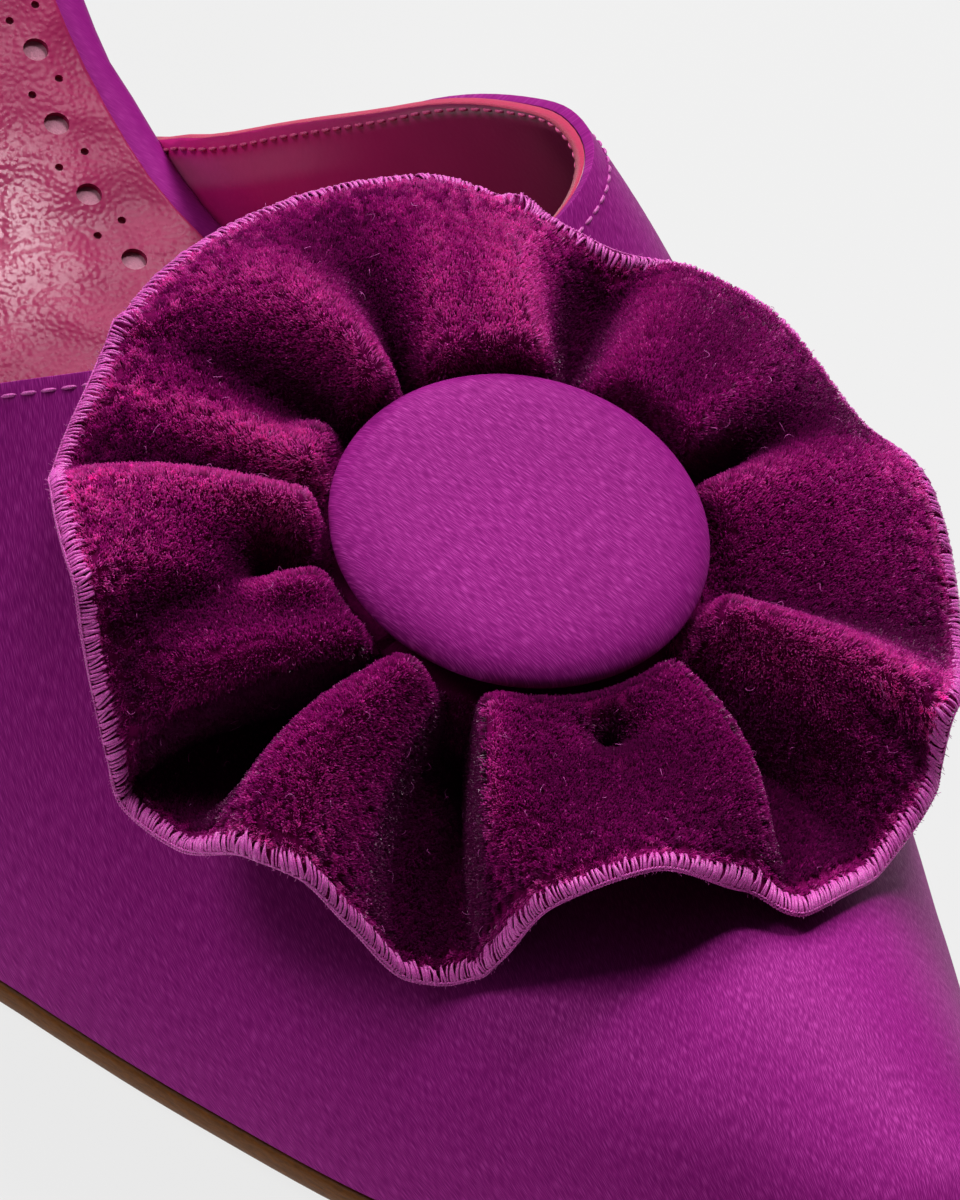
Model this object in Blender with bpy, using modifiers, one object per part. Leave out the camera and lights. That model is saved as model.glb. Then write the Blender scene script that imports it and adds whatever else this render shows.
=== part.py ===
"""Satin slingback pump with a gathered velvet rosette and a covered button, right shoe.

Built in metres: +X points to the toe, +Z up, and the outer side of the foot is at -Y.
The origin is on the floor under the ball of the foot. Tables are in millimetres.
"""
import math
from collections import namedtuple

import bmesh
import bpy
from mathutils import Matrix, Vector

MM = 0.001

# Driving sizes, in millimetres
TOE_TIP = 95.0          # toe tip ahead of the ball line
HEEL_BACK = -150.0      # back of the heel seat behind the ball line
TOE_ROUND = 5.0         # length over which the plan outline closes at the toe tip
HEEL_ROUND = 25.0       # length over which the plan outline closes at the heel
CROWN_ROUND = 9.0       # length over which the ridge of the upper closes at the toe tip
GAP = 0.3               # air between pieces that touch
SOLE_THICK = 2.6        # leather outsole
BOARD_THICK = 3.0       # satin wrapped insole board
SOCK_THICK = 0.9        # punched leather sock
SOCK_INSET = 3.0        # rim of satin left round the sock
WALL = 1.7              # satin, backing and lining of the upper
UPPER_ROOM = 2.3        # how far the board steps in beside the upper
HEEL_BREAST = -107.0    # front face of the heel
TOP_PIECE = 6.0         # heel tip
STRAP_THICK = 1.8
STRAP_SET = 1.3         # middle of the strap's foot inside the edge of the sole
SLOT_LONG = 13.6        # slot in the board for a foot of the strap
BUTTON_RADIUS = 13.0
BUTTON_STATION = 26.5   # button centre along the ridge
BUTTON_TILT = 19.5      # lean of the button towards the toe, in degrees
BUTTON_RISE = 9.0       # widest circle of the button above the ridge

# Throat and topline of the upper: the edge starts on the ridge and runs back and down to the sole
THROAT = 8.0
Topline = namedtuple("Topline", "run power")
OUTER_TOPLINE = Topline(run=38.0, power=1.81)
INNER_TOPLINE = Topline(run=62.7, power=1.95)

# Sections of the last: station, middle of the outline, half width, height of the sole's upper face
LastRow = namedtuple("LastRow", "x axis half seat")
LAST = (
    LastRow(-150.0, 0.0, 24.8, 56.0),
    LastRow(-130.0, 0.0, 24.8, 53.0),
    LastRow(-112.0, -0.2, 24.3, 47.3),
    LastRow(-95.0, -1.2, 22.6, 38.4),
    LastRow(-75.0, -3.0, 20.7, 26.2),
    LastRow(-60.0, -4.2, 20.2, 17.4),
    LastRow(-50.0, -4.4, 20.8, 12.2),
    LastRow(-40.0, -4.1, 23.1, 8.0),
    LastRow(-25.0, -3.0, 28.4, 3.95),
    LastRow(-12.0, -1.5, 33.0, 2.65),
    LastRow(-8.0, -1.0, 34.1, 2.6),
    LastRow(0.0, -0.2, 35.4, 2.6),
    LastRow(8.0, 0.6, 35.2, 2.6),
    LastRow(22.0, 1.5, 32.4, 2.6),
    LastRow(26.0, 1.6, 31.3, 2.6),
    LastRow(38.0, 1.6, 27.6, 2.9),
    LastRow(52.0, 1.2, 22.7, 3.9),
    LastRow(60.0, 1.2, 19.5, 4.8),
    LastRow(70.0, 1.4, 15.4, 6.2),
    LastRow(80.0, 1.9, 11.3, 7.9),
    LastRow(95.0, 2.9, 6.0, 11.2),
)

# Ridge of the upper: station, height over the sole, sideways shift, squareness of the section
RidgeRow = namedtuple("RidgeRow", "x height shift square")
RIDGE = (
    RidgeRow(-60.0, 57.1, -1.4, 0.60),
    RidgeRow(-40.0, 68.4, 0.0, 0.60),
    RidgeRow(-25.0, 64.6, 0.9, 0.60),
    RidgeRow(-12.0, 56.1, 1.5, 0.60),
    RidgeRow(0.0, 45.9, 1.9, 0.60),
    RidgeRow(15.0, 33.2, 2.3, 0.71),
    RidgeRow(22.0, 28.3, 2.4, 0.76),
    RidgeRow(30.0, 23.9, 2.5, 0.82),
    RidgeRow(38.0, 21.4, 2.5, 0.88),
    RidgeRow(52.0, 19.6, 2.5, 0.90),
    RidgeRow(60.0, 18.9, 2.4, 0.90),
    RidgeRow(70.0, 17.5, 2.3, 0.90),
    RidgeRow(80.0, 15.0, 2.4, 0.92),
    RidgeRow(88.0, 12.4, 2.7, 0.95),
    RidgeRow(95.0, 9.6, 2.9, 0.95),
)

# Heel sections from the seat down: part of the height, breast, back, half width over that of the seat
HeelRow = namedtuple("HeelRow", "part breast back width")
HEEL = (
    HeelRow(0.00, -107.0, -149.5, 0.985),
    HeelRow(0.06, -110.5, -149.6, 0.955),
    HeelRow(0.14, -115.5, -149.0, 0.85),
    HeelRow(0.24, -120.5, -147.6, 0.66),
    HeelRow(0.36, -124.6, -145.6, 0.48),
    HeelRow(0.50, -127.2, -143.6, 0.35),
    HeelRow(0.66, -128.8, -142.0, 0.27),
    HeelRow(0.82, -129.7, -140.9, 0.225),
    HeelRow(1.00, -130.2, -140.2, 0.205),
)

# Middle line of the sling strap from the back round to the sole, the same on both sides of the foot.
# lean turns the strap's width from upright towards the toe, in degrees
StrapRow = namedtuple("StrapRow", "x out z lean wide")
STRAP = (
    StrapRow(-150.4, 0.0, 98.2, 0.0, 7.0),
    StrapRow(-149.0, 9.0, 97.4, 5.0, 7.0),
    StrapRow(-143.5, 17.2, 94.2, 15.0, 7.0),
    StrapRow(-134.0, 22.6, 88.4, 28.0, 7.0),
    StrapRow(-123.5, 25.0, 80.4, 40.0, 7.0),
    StrapRow(-113.5, 25.4, 69.8, 52.0, 7.0),
    StrapRow(-106.0, 24.4, 58.2, 64.0, 7.0),
    StrapRow(-102.0, 23.0, 48.2, 86.0, 7.6),
    StrapRow(-100.0, 22.6, 41.7, 121.0, 10.9),
)

# Section of the covered button: radius, height over its widest circle
ButtonRow = namedtuple("ButtonRow", "radius height")
BUTTON = (
    ButtonRow(0.0, 3.6),
    ButtonRow(4.0, 3.35),
    ButtonRow(7.5, 2.6),
    ButtonRow(10.4, 1.5),
    ButtonRow(12.2, 0.4),
    ButtonRow(13.0, -0.7),
    ButtonRow(12.5, -1.8),
    ButtonRow(11.2, -2.7),
    ButtonRow(0.0, -2.9),
)

# Gathered ruffle. Heights are over the button's widest circle, angles run from the toe towards the
# inner side of the foot.
CLOTH = 1.0             # velvet and its backing
CLOTH_REST = 1.35       # middle of the cloth over the upper where it rests
REST_SOFT = 0.4         # softness of the bend where the cloth comes to rest
SEAM_RADIUS = 9.5       # gathered inner edge under the button
SEAM_HEIGHT = -4.3
COLLAR_RADIUS = 15.4    # where the folds have come up beside the button
MIDDLE_RADIUS = 23.0

# Crests and hollows in turn: angle, height at the button, at the middle and at the rim, rim radius
FoldRow = namedtuple("FoldRow", "angle_in angle_mid angle_rim high_in high_mid high_rim reach")
FOLDS = (
    FoldRow(-163.0, -163.0, -160.0, 1.8, 2.0, -2.6, 32.0),    # crest behind the outer side
    FoldRow(-147.0, -146.0, -145.0, -3.0, -1.2, -2.2, 31.3),
    FoldRow(-134.0, -137.0, -135.0, -0.6, -3.6, -2.4, 30.9),  # small pinch at the button
    FoldRow(-124.0, -128.0, -126.0, -2.8, -6.4, -3.4, 31.5),
    FoldRow(-112.0, -115.0, -111.0, 1.6, 1.6, 1.6, 32.0),     # crest at the outer side
    FoldRow(-101.0, -103.0, -100.0, -3.0, 0.4, 2.6, 32.0),
    FoldRow(-91.0, -92.0, -92.0, -0.2, -0.8, -0.1, 32.0),
    FoldRow(-81.0, -82.0, -86.0, -1.2, -2.6, -5.6, 32.0),
    FoldRow(-72.0, -73.5, -75.0, -6.6, -9.4, -9.9, 32.0),     # deep hollow in front of it
    FoldRow(-63.0, -65.0, -58.0, 0.2, -0.4, -2.7, 32.0),      # crest at the outer front
    FoldRow(-49.0, -51.0, -47.0, -1.6, -2.8, -4.8, 32.0),
    FoldRow(-41.0, -40.0, -35.0, -5.4, -7.4, -7.4, 32.0),     # deep hollow beside the front petal
    FoldRow(-33.0, -31.0, -24.0, -0.2, 0.6, 2.0, 31.8),       # front petal, outer edge
    FoldRow(-10.0, -10.0, -13.0, 0.3, 1.8, 4.6, 31.0),        # front petal, middle
    FoldRow(14.0, 10.0, 0.0, 0.4, 1.2, 1.4, 32.0),            # front petal, inner edge
    FoldRow(23.0, 20.0, 13.0, -3.8, -5.4, -3.0, 33.0),
    FoldRow(46.0, 46.0, 41.0, -0.2, 0.4, 0.0, 31.5),          # crest at the inner front
    FoldRow(56.0, 59.0, 65.0, -4.2, -5.4, -9.2, 32.0),
    FoldRow(87.0, 87.0, 85.0, -0.6, -1.6, -6.6, 32.0),        # broad petal at the inner side
    FoldRow(95.0, 98.0, 100.0, -3.2, -5.4, -10.6, 32.0),
    FoldRow(105.0, 111.0, 118.0, 0.2, -1.4, -6.9, 32.0),
    FoldRow(128.0, 125.0, 127.0, 0.1, -1.4, -7.0, 32.0),
    FoldRow(138.0, 137.0, 138.0, -3.6, -4.0, -2.4, 27.3),
    FoldRow(152.0, 153.0, 151.0, 0.4, 0.4, -2.0, 28.8),       # crest behind the inner side
    FoldRow(168.0, 167.0, 165.0, -0.2, -0.4, -2.6, 32.0),
    FoldRow(182.0, 180.0, 180.0, -3.4, -0.9, -2.4, 32.0),
)

# Colours of the flat materials
SATIN_PURPLE = (0.19, 0.012, 0.17, 1.0)
VELVET_PLUM = (0.11, 0.003, 0.07, 1.0)
SOCK_RASPBERRY = (0.36, 0.035, 0.11, 1.0)
SOLE_BROWN = (0.13, 0.045, 0.012, 1.0)
TIP_BLACK = (0.02, 0.018, 0.018, 1.0)


def smooth_curve(rows, column):
    """A smooth function of x through one column of a table, flat where two rows agree."""
    xs = [row[0] for row in rows]
    ys = [getattr(row, column) for row in rows]
    count = len(xs)
    steps = [(ys[k + 1] - ys[k]) / (xs[k + 1] - xs[k]) for k in range(count - 1)]
    slopes = [steps[0]]
    for k in range(1, count - 1):
        before, after = steps[k - 1], steps[k]
        slopes.append(0.0 if before * after <= 0.0 else 2.0 * before * after / (before + after))
    slopes.append(steps[-1])

    def value(x):
        x = min(max(x, xs[0]), xs[-1])
        k = 0
        while k < count - 2 and x > xs[k + 1]:
            k += 1
        span = xs[k + 1] - xs[k]
        t = (x - xs[k]) / span
        rise = ys[k + 1] - ys[k]
        bend = t * (1.0 - t) * ((1.0 - t) * (slopes[k] * span - rise) - t * (slopes[k + 1] * span - rise))
        return ys[k] + t * rise + bend

    return value


axis_at = smooth_curve(LAST, "axis")
half_at = smooth_curve(LAST, "half")
seat_at = smooth_curve(LAST, "seat")
ridge_height = smooth_curve(RIDGE, "height")
ridge_shift = smooth_curve(RIDGE, "shift")
ridge_square = smooth_curve(RIDGE, "square")


def end_round(distance, reach):
    """Quarter ellipse from 0 at an end to 1 a reach away from it."""
    t = min(max(distance / reach, 0.0), 1.0)
    return math.sqrt(1.0 - (1.0 - t) ** 2)


def ease(t):
    """Smooth step from 0 to 1."""
    t = min(max(t, 0.0), 1.0)
    return t * t * (3.0 - 2.0 * t)


def closing(x, inset=0.0):
    """How far the plan outline has opened at a station, for an outline drawn in by inset."""
    toe = end_round(TOE_TIP - inset - x, TOE_ROUND)
    heel = end_round(x - HEEL_BACK - inset, HEEL_ROUND)
    return toe * heel


def outline(x, side, inset=0.0):
    """Edge of the last's plan on one side: -1 outer, +1 inner."""
    return axis_at(x) + side * (half_at(x) - inset) * closing(x, inset)


def wing_end(side):
    """Station where the topline meets the sole."""
    line = INNER_TOPLINE if side > 0 else OUTER_TOPLINE
    return THROAT - line.run


def tuck(x, side):
    """0 where the upper passes outside the board, at its back ends, to 1 where it is tucked in."""
    return ease((x - wing_end(side) - 8.0) / 24.0)


def board_inset(x, side):
    """The board draws in beside the upper and takes the whole outline behind it."""
    return UPPER_ROOM * tuck(x, side)


def topline_station(turn):
    """Station of the upper's edge; turn runs from -1 at the outer sole to +1 at the inner sole."""
    line = INNER_TOPLINE if turn > 0 else OUTER_TOPLINE
    return THROAT - line.run * abs(turn) ** line.power


def upper_point(x, turn):
    """Point on the outside of the upper at a station and a turn round its section."""
    angle = (1.0 - abs(turn)) * math.pi / 2.0
    ridge_y = axis_at(x) + (ridge_shift(x) - axis_at(x)) * closing(x)
    side = 1.0 if turn > 0 else -1.0
    edge = outline(x, side) + side * (WALL + GAP) * (1.0 - tuck(x, side))
    y = ridge_y + (edge - ridge_y) * max(math.cos(angle), 0.0) ** ridge_square(x)
    crown = ridge_height(x) * end_round(TOE_TIP - x, CROWN_ROUND)
    z = seat_at(x) + GAP + crown * math.sin(angle) ** 0.95
    return Vector((x, y, z))


def upper_height(x, y):
    """Height of the upper over a spot in plan, and how far the spot lies in front of the topline."""
    side = 1.0 if y > ridge_shift(x) else -1.0
    share = min((y - ridge_shift(x)) / (outline(x, side) - ridge_shift(x)), 1.0)
    angle = math.acos(share ** (1.0 / ridge_square(x)))
    turn = side * (1.0 - angle / (math.pi / 2.0))
    return upper_point(x, turn).z, x - topline_station(turn)


def round_the_fold(column, place):
    """One column of the fold table at a place counted in rows, carried smoothly round the ring."""
    count = len(FOLDS)
    turn = 360.0 if column.startswith("angle") else 0.0

    def row_value(k):
        laps, row = divmod(k, count)
        return getattr(FOLDS[row], column) + laps * turn

    k = math.floor(place)
    t = place - k
    before, here, after, beyond = (row_value(k + step) for step in (-1, 0, 1, 2))
    rise = after - here
    slopes = []
    for low, high in ((here - before, rise), (rise, beyond - after)):
        slopes.append(0.0 if low * high <= 0.0 else 2.0 * low * high / (low + high))
    return here + t * rise + t * (1.0 - t) * ((1.0 - t) * (slopes[0] - rise) - t * (slopes[1] - rise))


def through_three(x, xs, ys):
    """Parabola through three points."""
    total = 0.0
    for i in range(3):
        part = ys[i]
        for j in range(3):
            if j != i:
                part *= (x - xs[j]) / (xs[i] - xs[j])
        total += part
    return total


def button_frame():
    """Middle of the button's widest circle, and the ways to the toe, to the inner side and up."""
    tilt = math.radians(BUTTON_TILT)
    up = Vector((math.sin(tilt), 0.0, math.cos(tilt)))
    toe = Vector((math.cos(tilt), 0.0, -math.sin(tilt)))
    inner = Vector((0.0, 1.0, 0.0))
    centre = upper_point(BUTTON_STATION, 0.0) + up * BUTTON_RISE
    return centre, toe, inner, up


def ruffle_point(place, part):
    """Point of the velvet: place counts fold rows round the ring, part runs from seam to rim."""
    reach = round_the_fold("reach", place)
    radii = (COLLAR_RADIUS, MIDDLE_RADIUS, reach)
    angles = [round_the_fold(name, place) for name in ("angle_in", "angle_mid", "angle_rim")]
    highs = [round_the_fold(name, place) for name in ("high_in", "high_mid", "high_rim")]
    radius = SEAM_RADIUS + (reach - SEAM_RADIUS) * part
    angle = math.radians(through_three(max(radius, COLLAR_RADIUS), radii, angles))
    height = through_three(max(radius, COLLAR_RADIUS), radii, highs)
    lift = ease((radius - 12.6) / (COLLAR_RADIUS - 12.6))
    height = SEAM_HEIGHT + (height - SEAM_HEIGHT) * lift
    centre, toe, inner, up = button_frame()
    flat = toe * math.cos(angle) + inner * math.sin(angle)
    spot = centre + flat * radius + up * height
    ground, inside = upper_height(spot.x, spot.y)
    sunk = ground + CLOTH_REST - spot.z
    soft = min(max(sunk, -REST_SOFT), REST_SOFT)
    lift = max(sunk, 0.0) if abs(sunk) > REST_SOFT else (soft + REST_SOFT) ** 2 / (4.0 * REST_SOFT)
    spot.z += lift * ease((inside + 3.0) / 2.0)
    return spot


def clear_scene():
    """Remove every object that the new file holds."""
    for item in list(bpy.data.objects):
        bpy.data.objects.remove(item, do_unlink=True)


def collection_named(name):
    """A collection linked to the scene."""
    made = bpy.data.collections.new(name)
    bpy.context.scene.collection.children.link(made)
    return made


def flat_material(name, colour, roughness, metallic=0.0):
    """A Principled material with one colour."""
    made = bpy.data.materials.new(name)
    made.use_nodes = True
    shader = made.node_tree.nodes["Principled BSDF"]
    shader.inputs["Base Color"].default_value = colour
    shader.inputs["Roughness"].default_value = roughness
    shader.inputs["Metallic"].default_value = metallic
    return made


def grid_mesh(along, across, notes=()):
    """A square grid and its vertices as (vertex, u, v) with u and v from 0 to 1.

    Each name in notes becomes a value that every vertex carries with it.
    """
    grid = bmesh.new()
    for name in notes:
        grid.verts.layers.float.new(name)
    bmesh.ops.create_grid(grid, x_segments=along, y_segments=across, size=0.5)
    places = [(vert, vert.co.x + 0.5, vert.co.y + 0.5) for vert in grid.verts]
    return grid, places


def object_from(name, shape, material, home):
    """Turn a bmesh in millimetres into a smooth shaded object in metres."""
    bmesh.ops.remove_doubles(shape, verts=shape.verts, dist=0.002)
    bmesh.ops.recalc_face_normals(shape, faces=shape.faces)
    bmesh.ops.scale(shape, vec=(MM, MM, MM), verts=shape.verts)
    mesh = bpy.data.meshes.new(name)
    shape.to_mesh(mesh)
    shape.free()
    mesh.shade_smooth()
    mesh.materials.append(material)
    made = bpy.data.objects.new(name, mesh)
    home.objects.link(made)
    return made


def end_spaced(u):
    """Spread of stations that gathers a little at both ends."""
    return 0.35 * u + 0.65 * (1.0 - math.cos(math.pi * u)) / 2.0


def plate(name, back, front, edge, lift, thick, material, home, along=48, across=4):
    """A thin plate over the sole's face; edge(x, side) gives its outline."""
    shape, places = grid_mesh(along, across)
    for vert, u, v in places:
        x = back + (front - back) * end_spaced(u)
        outer = edge(x, -1.0)
        inner = edge(x, 1.0)
        vert.co = (x, outer + (inner - outer) * v, seat_at(x) + lift)
    bmesh.ops.remove_doubles(shape, verts=shape.verts, dist=0.002)
    bmesh.ops.recalc_face_normals(shape, faces=shape.faces)
    grown = bmesh.ops.extrude_face_region(shape, geom=shape.faces[:])
    lowered = [item for item in grown["geom"] if isinstance(item, bmesh.types.BMVert)]
    bmesh.ops.translate(shape, verts=lowered, vec=(0.0, 0.0, -thick))
    return object_from(name, shape, material, home)


def build_outsole(material, home):
    """Leather sole from the toe tip to the heel breast, flat on the floor under the ball."""
    return plate("outsole", HEEL_BREAST + GAP, TOE_TIP, outline, 0.0, SOLE_THICK, material, home)


def build_board(material, home):
    """Insole board: inside the upper in front, the whole outline behind it."""
    front = TOE_TIP - UPPER_ROOM

    def edge(x, side):
        inset = board_inset(x, side)
        return axis_at(x) + side * (half_at(x) - inset) * closing(x, 0.0 if x < 0.0 else UPPER_ROOM)

    lift = GAP + BOARD_THICK
    return plate("insole_board", HEEL_BACK, front, edge, lift, BOARD_THICK, material, home)


def build_sock(material, home):
    """Punched leather sock on the board, set in from its edge."""
    lift = 2.0 * GAP + BOARD_THICK + SOCK_THICK

    def edge(x, side):
        return outline(x, side, SOCK_INSET)

    back = HEEL_BACK + SOCK_INSET
    front = TOE_TIP - SOCK_INSET
    return plate("sock_lining", back, front, edge, lift, SOCK_THICK, material, home)


def build_upper(material, home):
    """Hollow vamp, open at the topline and underneath."""
    shape, places = grid_mesh(30, 28)
    for vert, u, v in places:
        turn = 2.0 * v - 1.0
        back = topline_station(turn)
        x = TOE_TIP - (TOE_TIP - back) * u ** 1.35
        vert.co = upper_point(x, turn)
    bmesh.ops.remove_doubles(shape, verts=shape.verts, dist=0.002)
    bmesh.ops.recalc_face_normals(shape, faces=shape.faces)
    upper = object_from("upper", shape, material, home)
    wall = upper.modifiers.new("wall", "SOLIDIFY")
    wall.thickness = WALL * MM
    wall.offset = -1.0
    wall.use_even_offset = True
    return upper


def build_heel(material, home):
    """Covered heel: the seat's outline drawn down and in to the tip, one layer a table row."""
    shape, places = grid_mesh(14, 6, ("reach", "across", "seat"))
    reach = shape.verts.layers.float["reach"]
    across = shape.verts.layers.float["across"]
    seat = shape.verts.layers.float["seat"]
    for vert, u, v in places:
        vert[reach] = math.sin(u * math.pi / 2.0)
        x = HEEL_BREAST + (HEEL_BACK - HEEL_BREAST) * vert[reach]
        vert[across] = outline(x, -1.0) + (outline(x, 1.0) - outline(x, -1.0)) * v
        vert[seat] = seat_at(x)
        vert.co = (x, vert[across], vert[seat])
    bmesh.ops.remove_doubles(shape, verts=shape.verts, dist=0.002)
    foot = TOP_PIECE + GAP

    def place(verts, row):
        for vert in verts:
            x = row.breast + (row.back - row.breast) * vert[reach]
            z = foot + (vert[seat] - foot) * (1.0 - row.part)
            vert.co = (x, vert[across] * row.width, z)

    place(shape.verts, HEEL[0])
    layer = shape.faces[:]
    for row in HEEL[1:]:
        grown = bmesh.ops.extrude_face_region(shape, geom=layer)
        if row is not HEEL[1]:
            bmesh.ops.delete(shape, geom=layer, context="FACES")
        layer = [item for item in grown["geom"] if isinstance(item, bmesh.types.BMFace)]
        place([item for item in grown["geom"] if isinstance(item, bmesh.types.BMVert)], row)
    return object_from("heel", shape, material, home)


def build_top_piece(material, home):
    """Heel tip that stands on the floor."""
    last = HEEL[-1]
    shape, places = grid_mesh(10, 4)
    for vert, u, v in places:
        part = math.sin(u * math.pi / 2.0)
        x = HEEL_BREAST + (HEEL_BACK - HEEL_BREAST) * part
        y = (outline(x, -1.0) + (outline(x, 1.0) - outline(x, -1.0)) * v) * last.width
        vert.co = (last.breast + (last.back - last.breast) * part, y, TOP_PIECE)
    bmesh.ops.remove_doubles(shape, verts=shape.verts, dist=0.002)
    grown = bmesh.ops.extrude_face_region(shape, geom=shape.faces[:])
    lowered = [item for item in grown["geom"] if isinstance(item, bmesh.types.BMVert)]
    bmesh.ops.translate(shape, verts=lowered, vec=(0.0, 0.0, -TOP_PIECE))
    return object_from("heel_tip", shape, material, home)


def build_ruffle(material, home):
    """Gathered velvet ring in folds round the button."""
    around = 5 * len(FOLDS)
    shape, places = grid_mesh(around, 9)
    for vert, u, v in places:
        vert.co = ruffle_point(u * len(FOLDS), v)
    ruffle = object_from("ruffle", shape, material, home)
    cloth = ruffle.modifiers.new("cloth", "SOLIDIFY")
    cloth.thickness = CLOTH * MM
    cloth.offset = 0.0
    return ruffle


def build_button(material, home):
    """Covered button: its section spun about the button's own axis."""
    shape = bmesh.new()
    line = [shape.verts.new((row.radius, 0.0, row.height)) for row in BUTTON]
    edges = [shape.edges.new((line[k], line[k + 1])) for k in range(len(line) - 1)]
    bmesh.ops.spin(
        shape,
        geom=line + edges,
        cent=(0.0, 0.0, 0.0),
        axis=(0.0, 0.0, 1.0),
        angle=2.0 * math.pi,
        steps=36,
    )
    centre, toe, inner, up = button_frame()
    stand = Matrix((toe, inner, up)).transposed().to_4x4()
    bmesh.ops.transform(shape, matrix=Matrix.Translation(centre) @ stand, verts=shape.verts)
    return object_from("covered_button", shape, material, home)


def strap_point(place, across):
    """Middle of the strap's thickness: place runs from -1 at the outer foot to +1 at the inner one.

    across runs over the width from -0.5 to 0.5.
    """
    side = 1.0 if place > 0.0 else -1.0
    last = len(STRAP) - 1
    k = min(int(abs(place) * last), last - 1)
    t = abs(place) * last - k
    rows = [STRAP[min(max(k + step, 0), last)] for step in (-1, 0, 1, 2)]
    if k == 0:
        rows[0] = STRAP[1]._replace(out=-STRAP[1].out)
    weights = (
        (-t + 2.0 * t ** 2 - t ** 3) / 2.0,
        (2.0 - 5.0 * t ** 2 + 3.0 * t ** 3) / 2.0,
        (t + 4.0 * t ** 2 - 3.0 * t ** 3) / 2.0,
        (-t ** 2 + t ** 3) / 2.0,
    )
    x, out, z, lean, wide = (sum(w * row[c] for w, row in zip(weights, rows)) for c in range(5))
    foot = STRAP[last]
    shift = (outline(foot.x, side) - side * (foot.out + STRAP_SET)) * ease((abs(place) - 0.3) / 0.7)
    tilt = math.radians(lean)
    offset = across * wide
    return Vector((x + offset * math.sin(tilt), side * out + shift, z + offset * math.cos(tilt)))


def build_strap(material, home):
    """Sling strap from the outer waist round the heel to the inner waist."""
    shape, places = grid_mesh(48, 2)
    for vert, u, v in places:
        vert.co = strap_point(2.0 * u - 1.0, v - 0.5)
    strap = object_from("sling_strap", shape, material, home)
    body = strap.modifiers.new("body", "SOLIDIFY")
    body.thickness = STRAP_THICK * MM
    body.offset = 0.0
    return strap


def cut_strap_slots(board, material, shed):
    """Open a slot in each edge of the board where a foot of the strap passes."""
    foot = STRAP[-1]
    for side, name in ((-1.0, "slot_outer"), (1.0, "slot_inner")):
        shape = bmesh.new()
        bmesh.ops.create_cube(shape, size=1.0)
        depth = STRAP_SET + STRAP_THICK / 2.0 + GAP
        bmesh.ops.scale(shape, vec=(SLOT_LONG, 2.0 * depth, 40.0), verts=shape.verts)
        spot = (foot.x - 0.6, outline(foot.x, side), foot.z)
        bmesh.ops.translate(shape, vec=spot, verts=shape.verts)
        cutter = object_from(name, shape, material, shed)
        cutter.hide_render = True
        cutter.display_type = "WIRE"
        slot = board.modifiers.new(name, "BOOLEAN")
        slot.operation = "DIFFERENCE"
        slot.solver = "EXACT"
        slot.object = cutter


def main():
    """Build every piece."""
    clear_scene()
    home = collection_named("slingback_pump")
    satin = flat_material("satin_purple", SATIN_PURPLE, 0.45)
    sole = flat_material("sole_leather", SOLE_BROWN, 0.5)
    sock = flat_material("sock_leather", SOCK_RASPBERRY, 0.3)
    tip = flat_material("tip_rubber", TIP_BLACK, 0.6)
    velvet = flat_material("velvet_plum", VELVET_PLUM, 0.9)
    build_outsole(sole, home)
    board = build_board(satin, home)
    build_sock(sock, home)
    build_upper(satin, home)
    build_heel(satin, home)
    build_top_piece(tip, home)
    build_ruffle(velvet, home)
    build_button(satin, home)
    build_strap(satin, home)
    cut_strap_slots(board, satin, collection_named("cutters"))


main()
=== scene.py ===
"""Looks of a satin slingback pump with a gathered velvet rosette and a covered button.

Laid out as an add-on. Shapes are worked out in millimetres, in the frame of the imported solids: +X to
the toe, +Z up, the outer side of the foot at -Y. Each finished mesh is turned to metres.
"""
import math
from collections import namedtuple

import bmesh
import bpy
import numpy as np
from mathutils import Matrix, Vector


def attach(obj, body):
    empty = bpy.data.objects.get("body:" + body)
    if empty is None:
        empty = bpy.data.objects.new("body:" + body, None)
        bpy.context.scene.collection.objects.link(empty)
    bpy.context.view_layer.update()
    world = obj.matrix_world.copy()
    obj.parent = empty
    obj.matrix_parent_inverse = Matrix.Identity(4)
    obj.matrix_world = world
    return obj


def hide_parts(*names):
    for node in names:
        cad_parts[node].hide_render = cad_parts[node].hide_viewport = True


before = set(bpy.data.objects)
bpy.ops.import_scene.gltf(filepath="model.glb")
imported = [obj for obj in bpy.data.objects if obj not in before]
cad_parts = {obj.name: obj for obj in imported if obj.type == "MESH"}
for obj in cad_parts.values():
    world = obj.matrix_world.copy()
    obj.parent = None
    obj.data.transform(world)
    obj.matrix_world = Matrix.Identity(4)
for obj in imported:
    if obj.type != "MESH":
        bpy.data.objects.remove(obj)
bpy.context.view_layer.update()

bl_info = {
    "name": "Slingback pump",
    "version": (1, 0, 0),
    "blender": (4, 5, 0),
    "location": "3D View > Sidebar > Pump",
    "description": "Builds the satin, velvet and leather of a slingback pump round its solids",
    "category": "Object",
}

MM = 0.001
SEED = 11

# Sizes shared with the solids, in millimetres
TOE_TIP = 95.0           # station of the toe's tip; the ball of the foot is at 0
HEEL_BACK = -150.0       # station of the heel's back
TOE_ROUND = 5.0          # length over which the plan closes at the toe
HEEL_ROUND = 25.0        # and at the heel
CROWN_ROUND = 9.0        # length over which the ridge drops at the toe
GAP = 0.3                # air between neighbours
BOARD_THICK = 3.0        # insole board
SOCK_THICK = 0.9         # sock with what lies under it
SOCK_INSET = 3.0         # rim of satin left round the sock
WALL = 1.7               # upper with its lining
UPPER_ROOM = 2.3         # how far the board draws in beside the upper
HEEL_BREAST = -107.0     # station of the heel's front
TOP_PIECE = 6.0          # height of the heel tip
STRAP_THICK = 1.8        # folded satin
STRAP_SET = 1.3          # how far the strap's feet stand in from the edge
BUTTON_STATION = 26.5    # station of the button on the ridge
BUTTON_TILT = 19.5       # degrees that the button leans to the toe
BUTTON_RISE = 9.0        # the button's widest circle over the ridge
THROAT = 8.0             # station of the topline in the middle
TUCK_START = 8.0         # length of the wings' ends that pass outside the board
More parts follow.
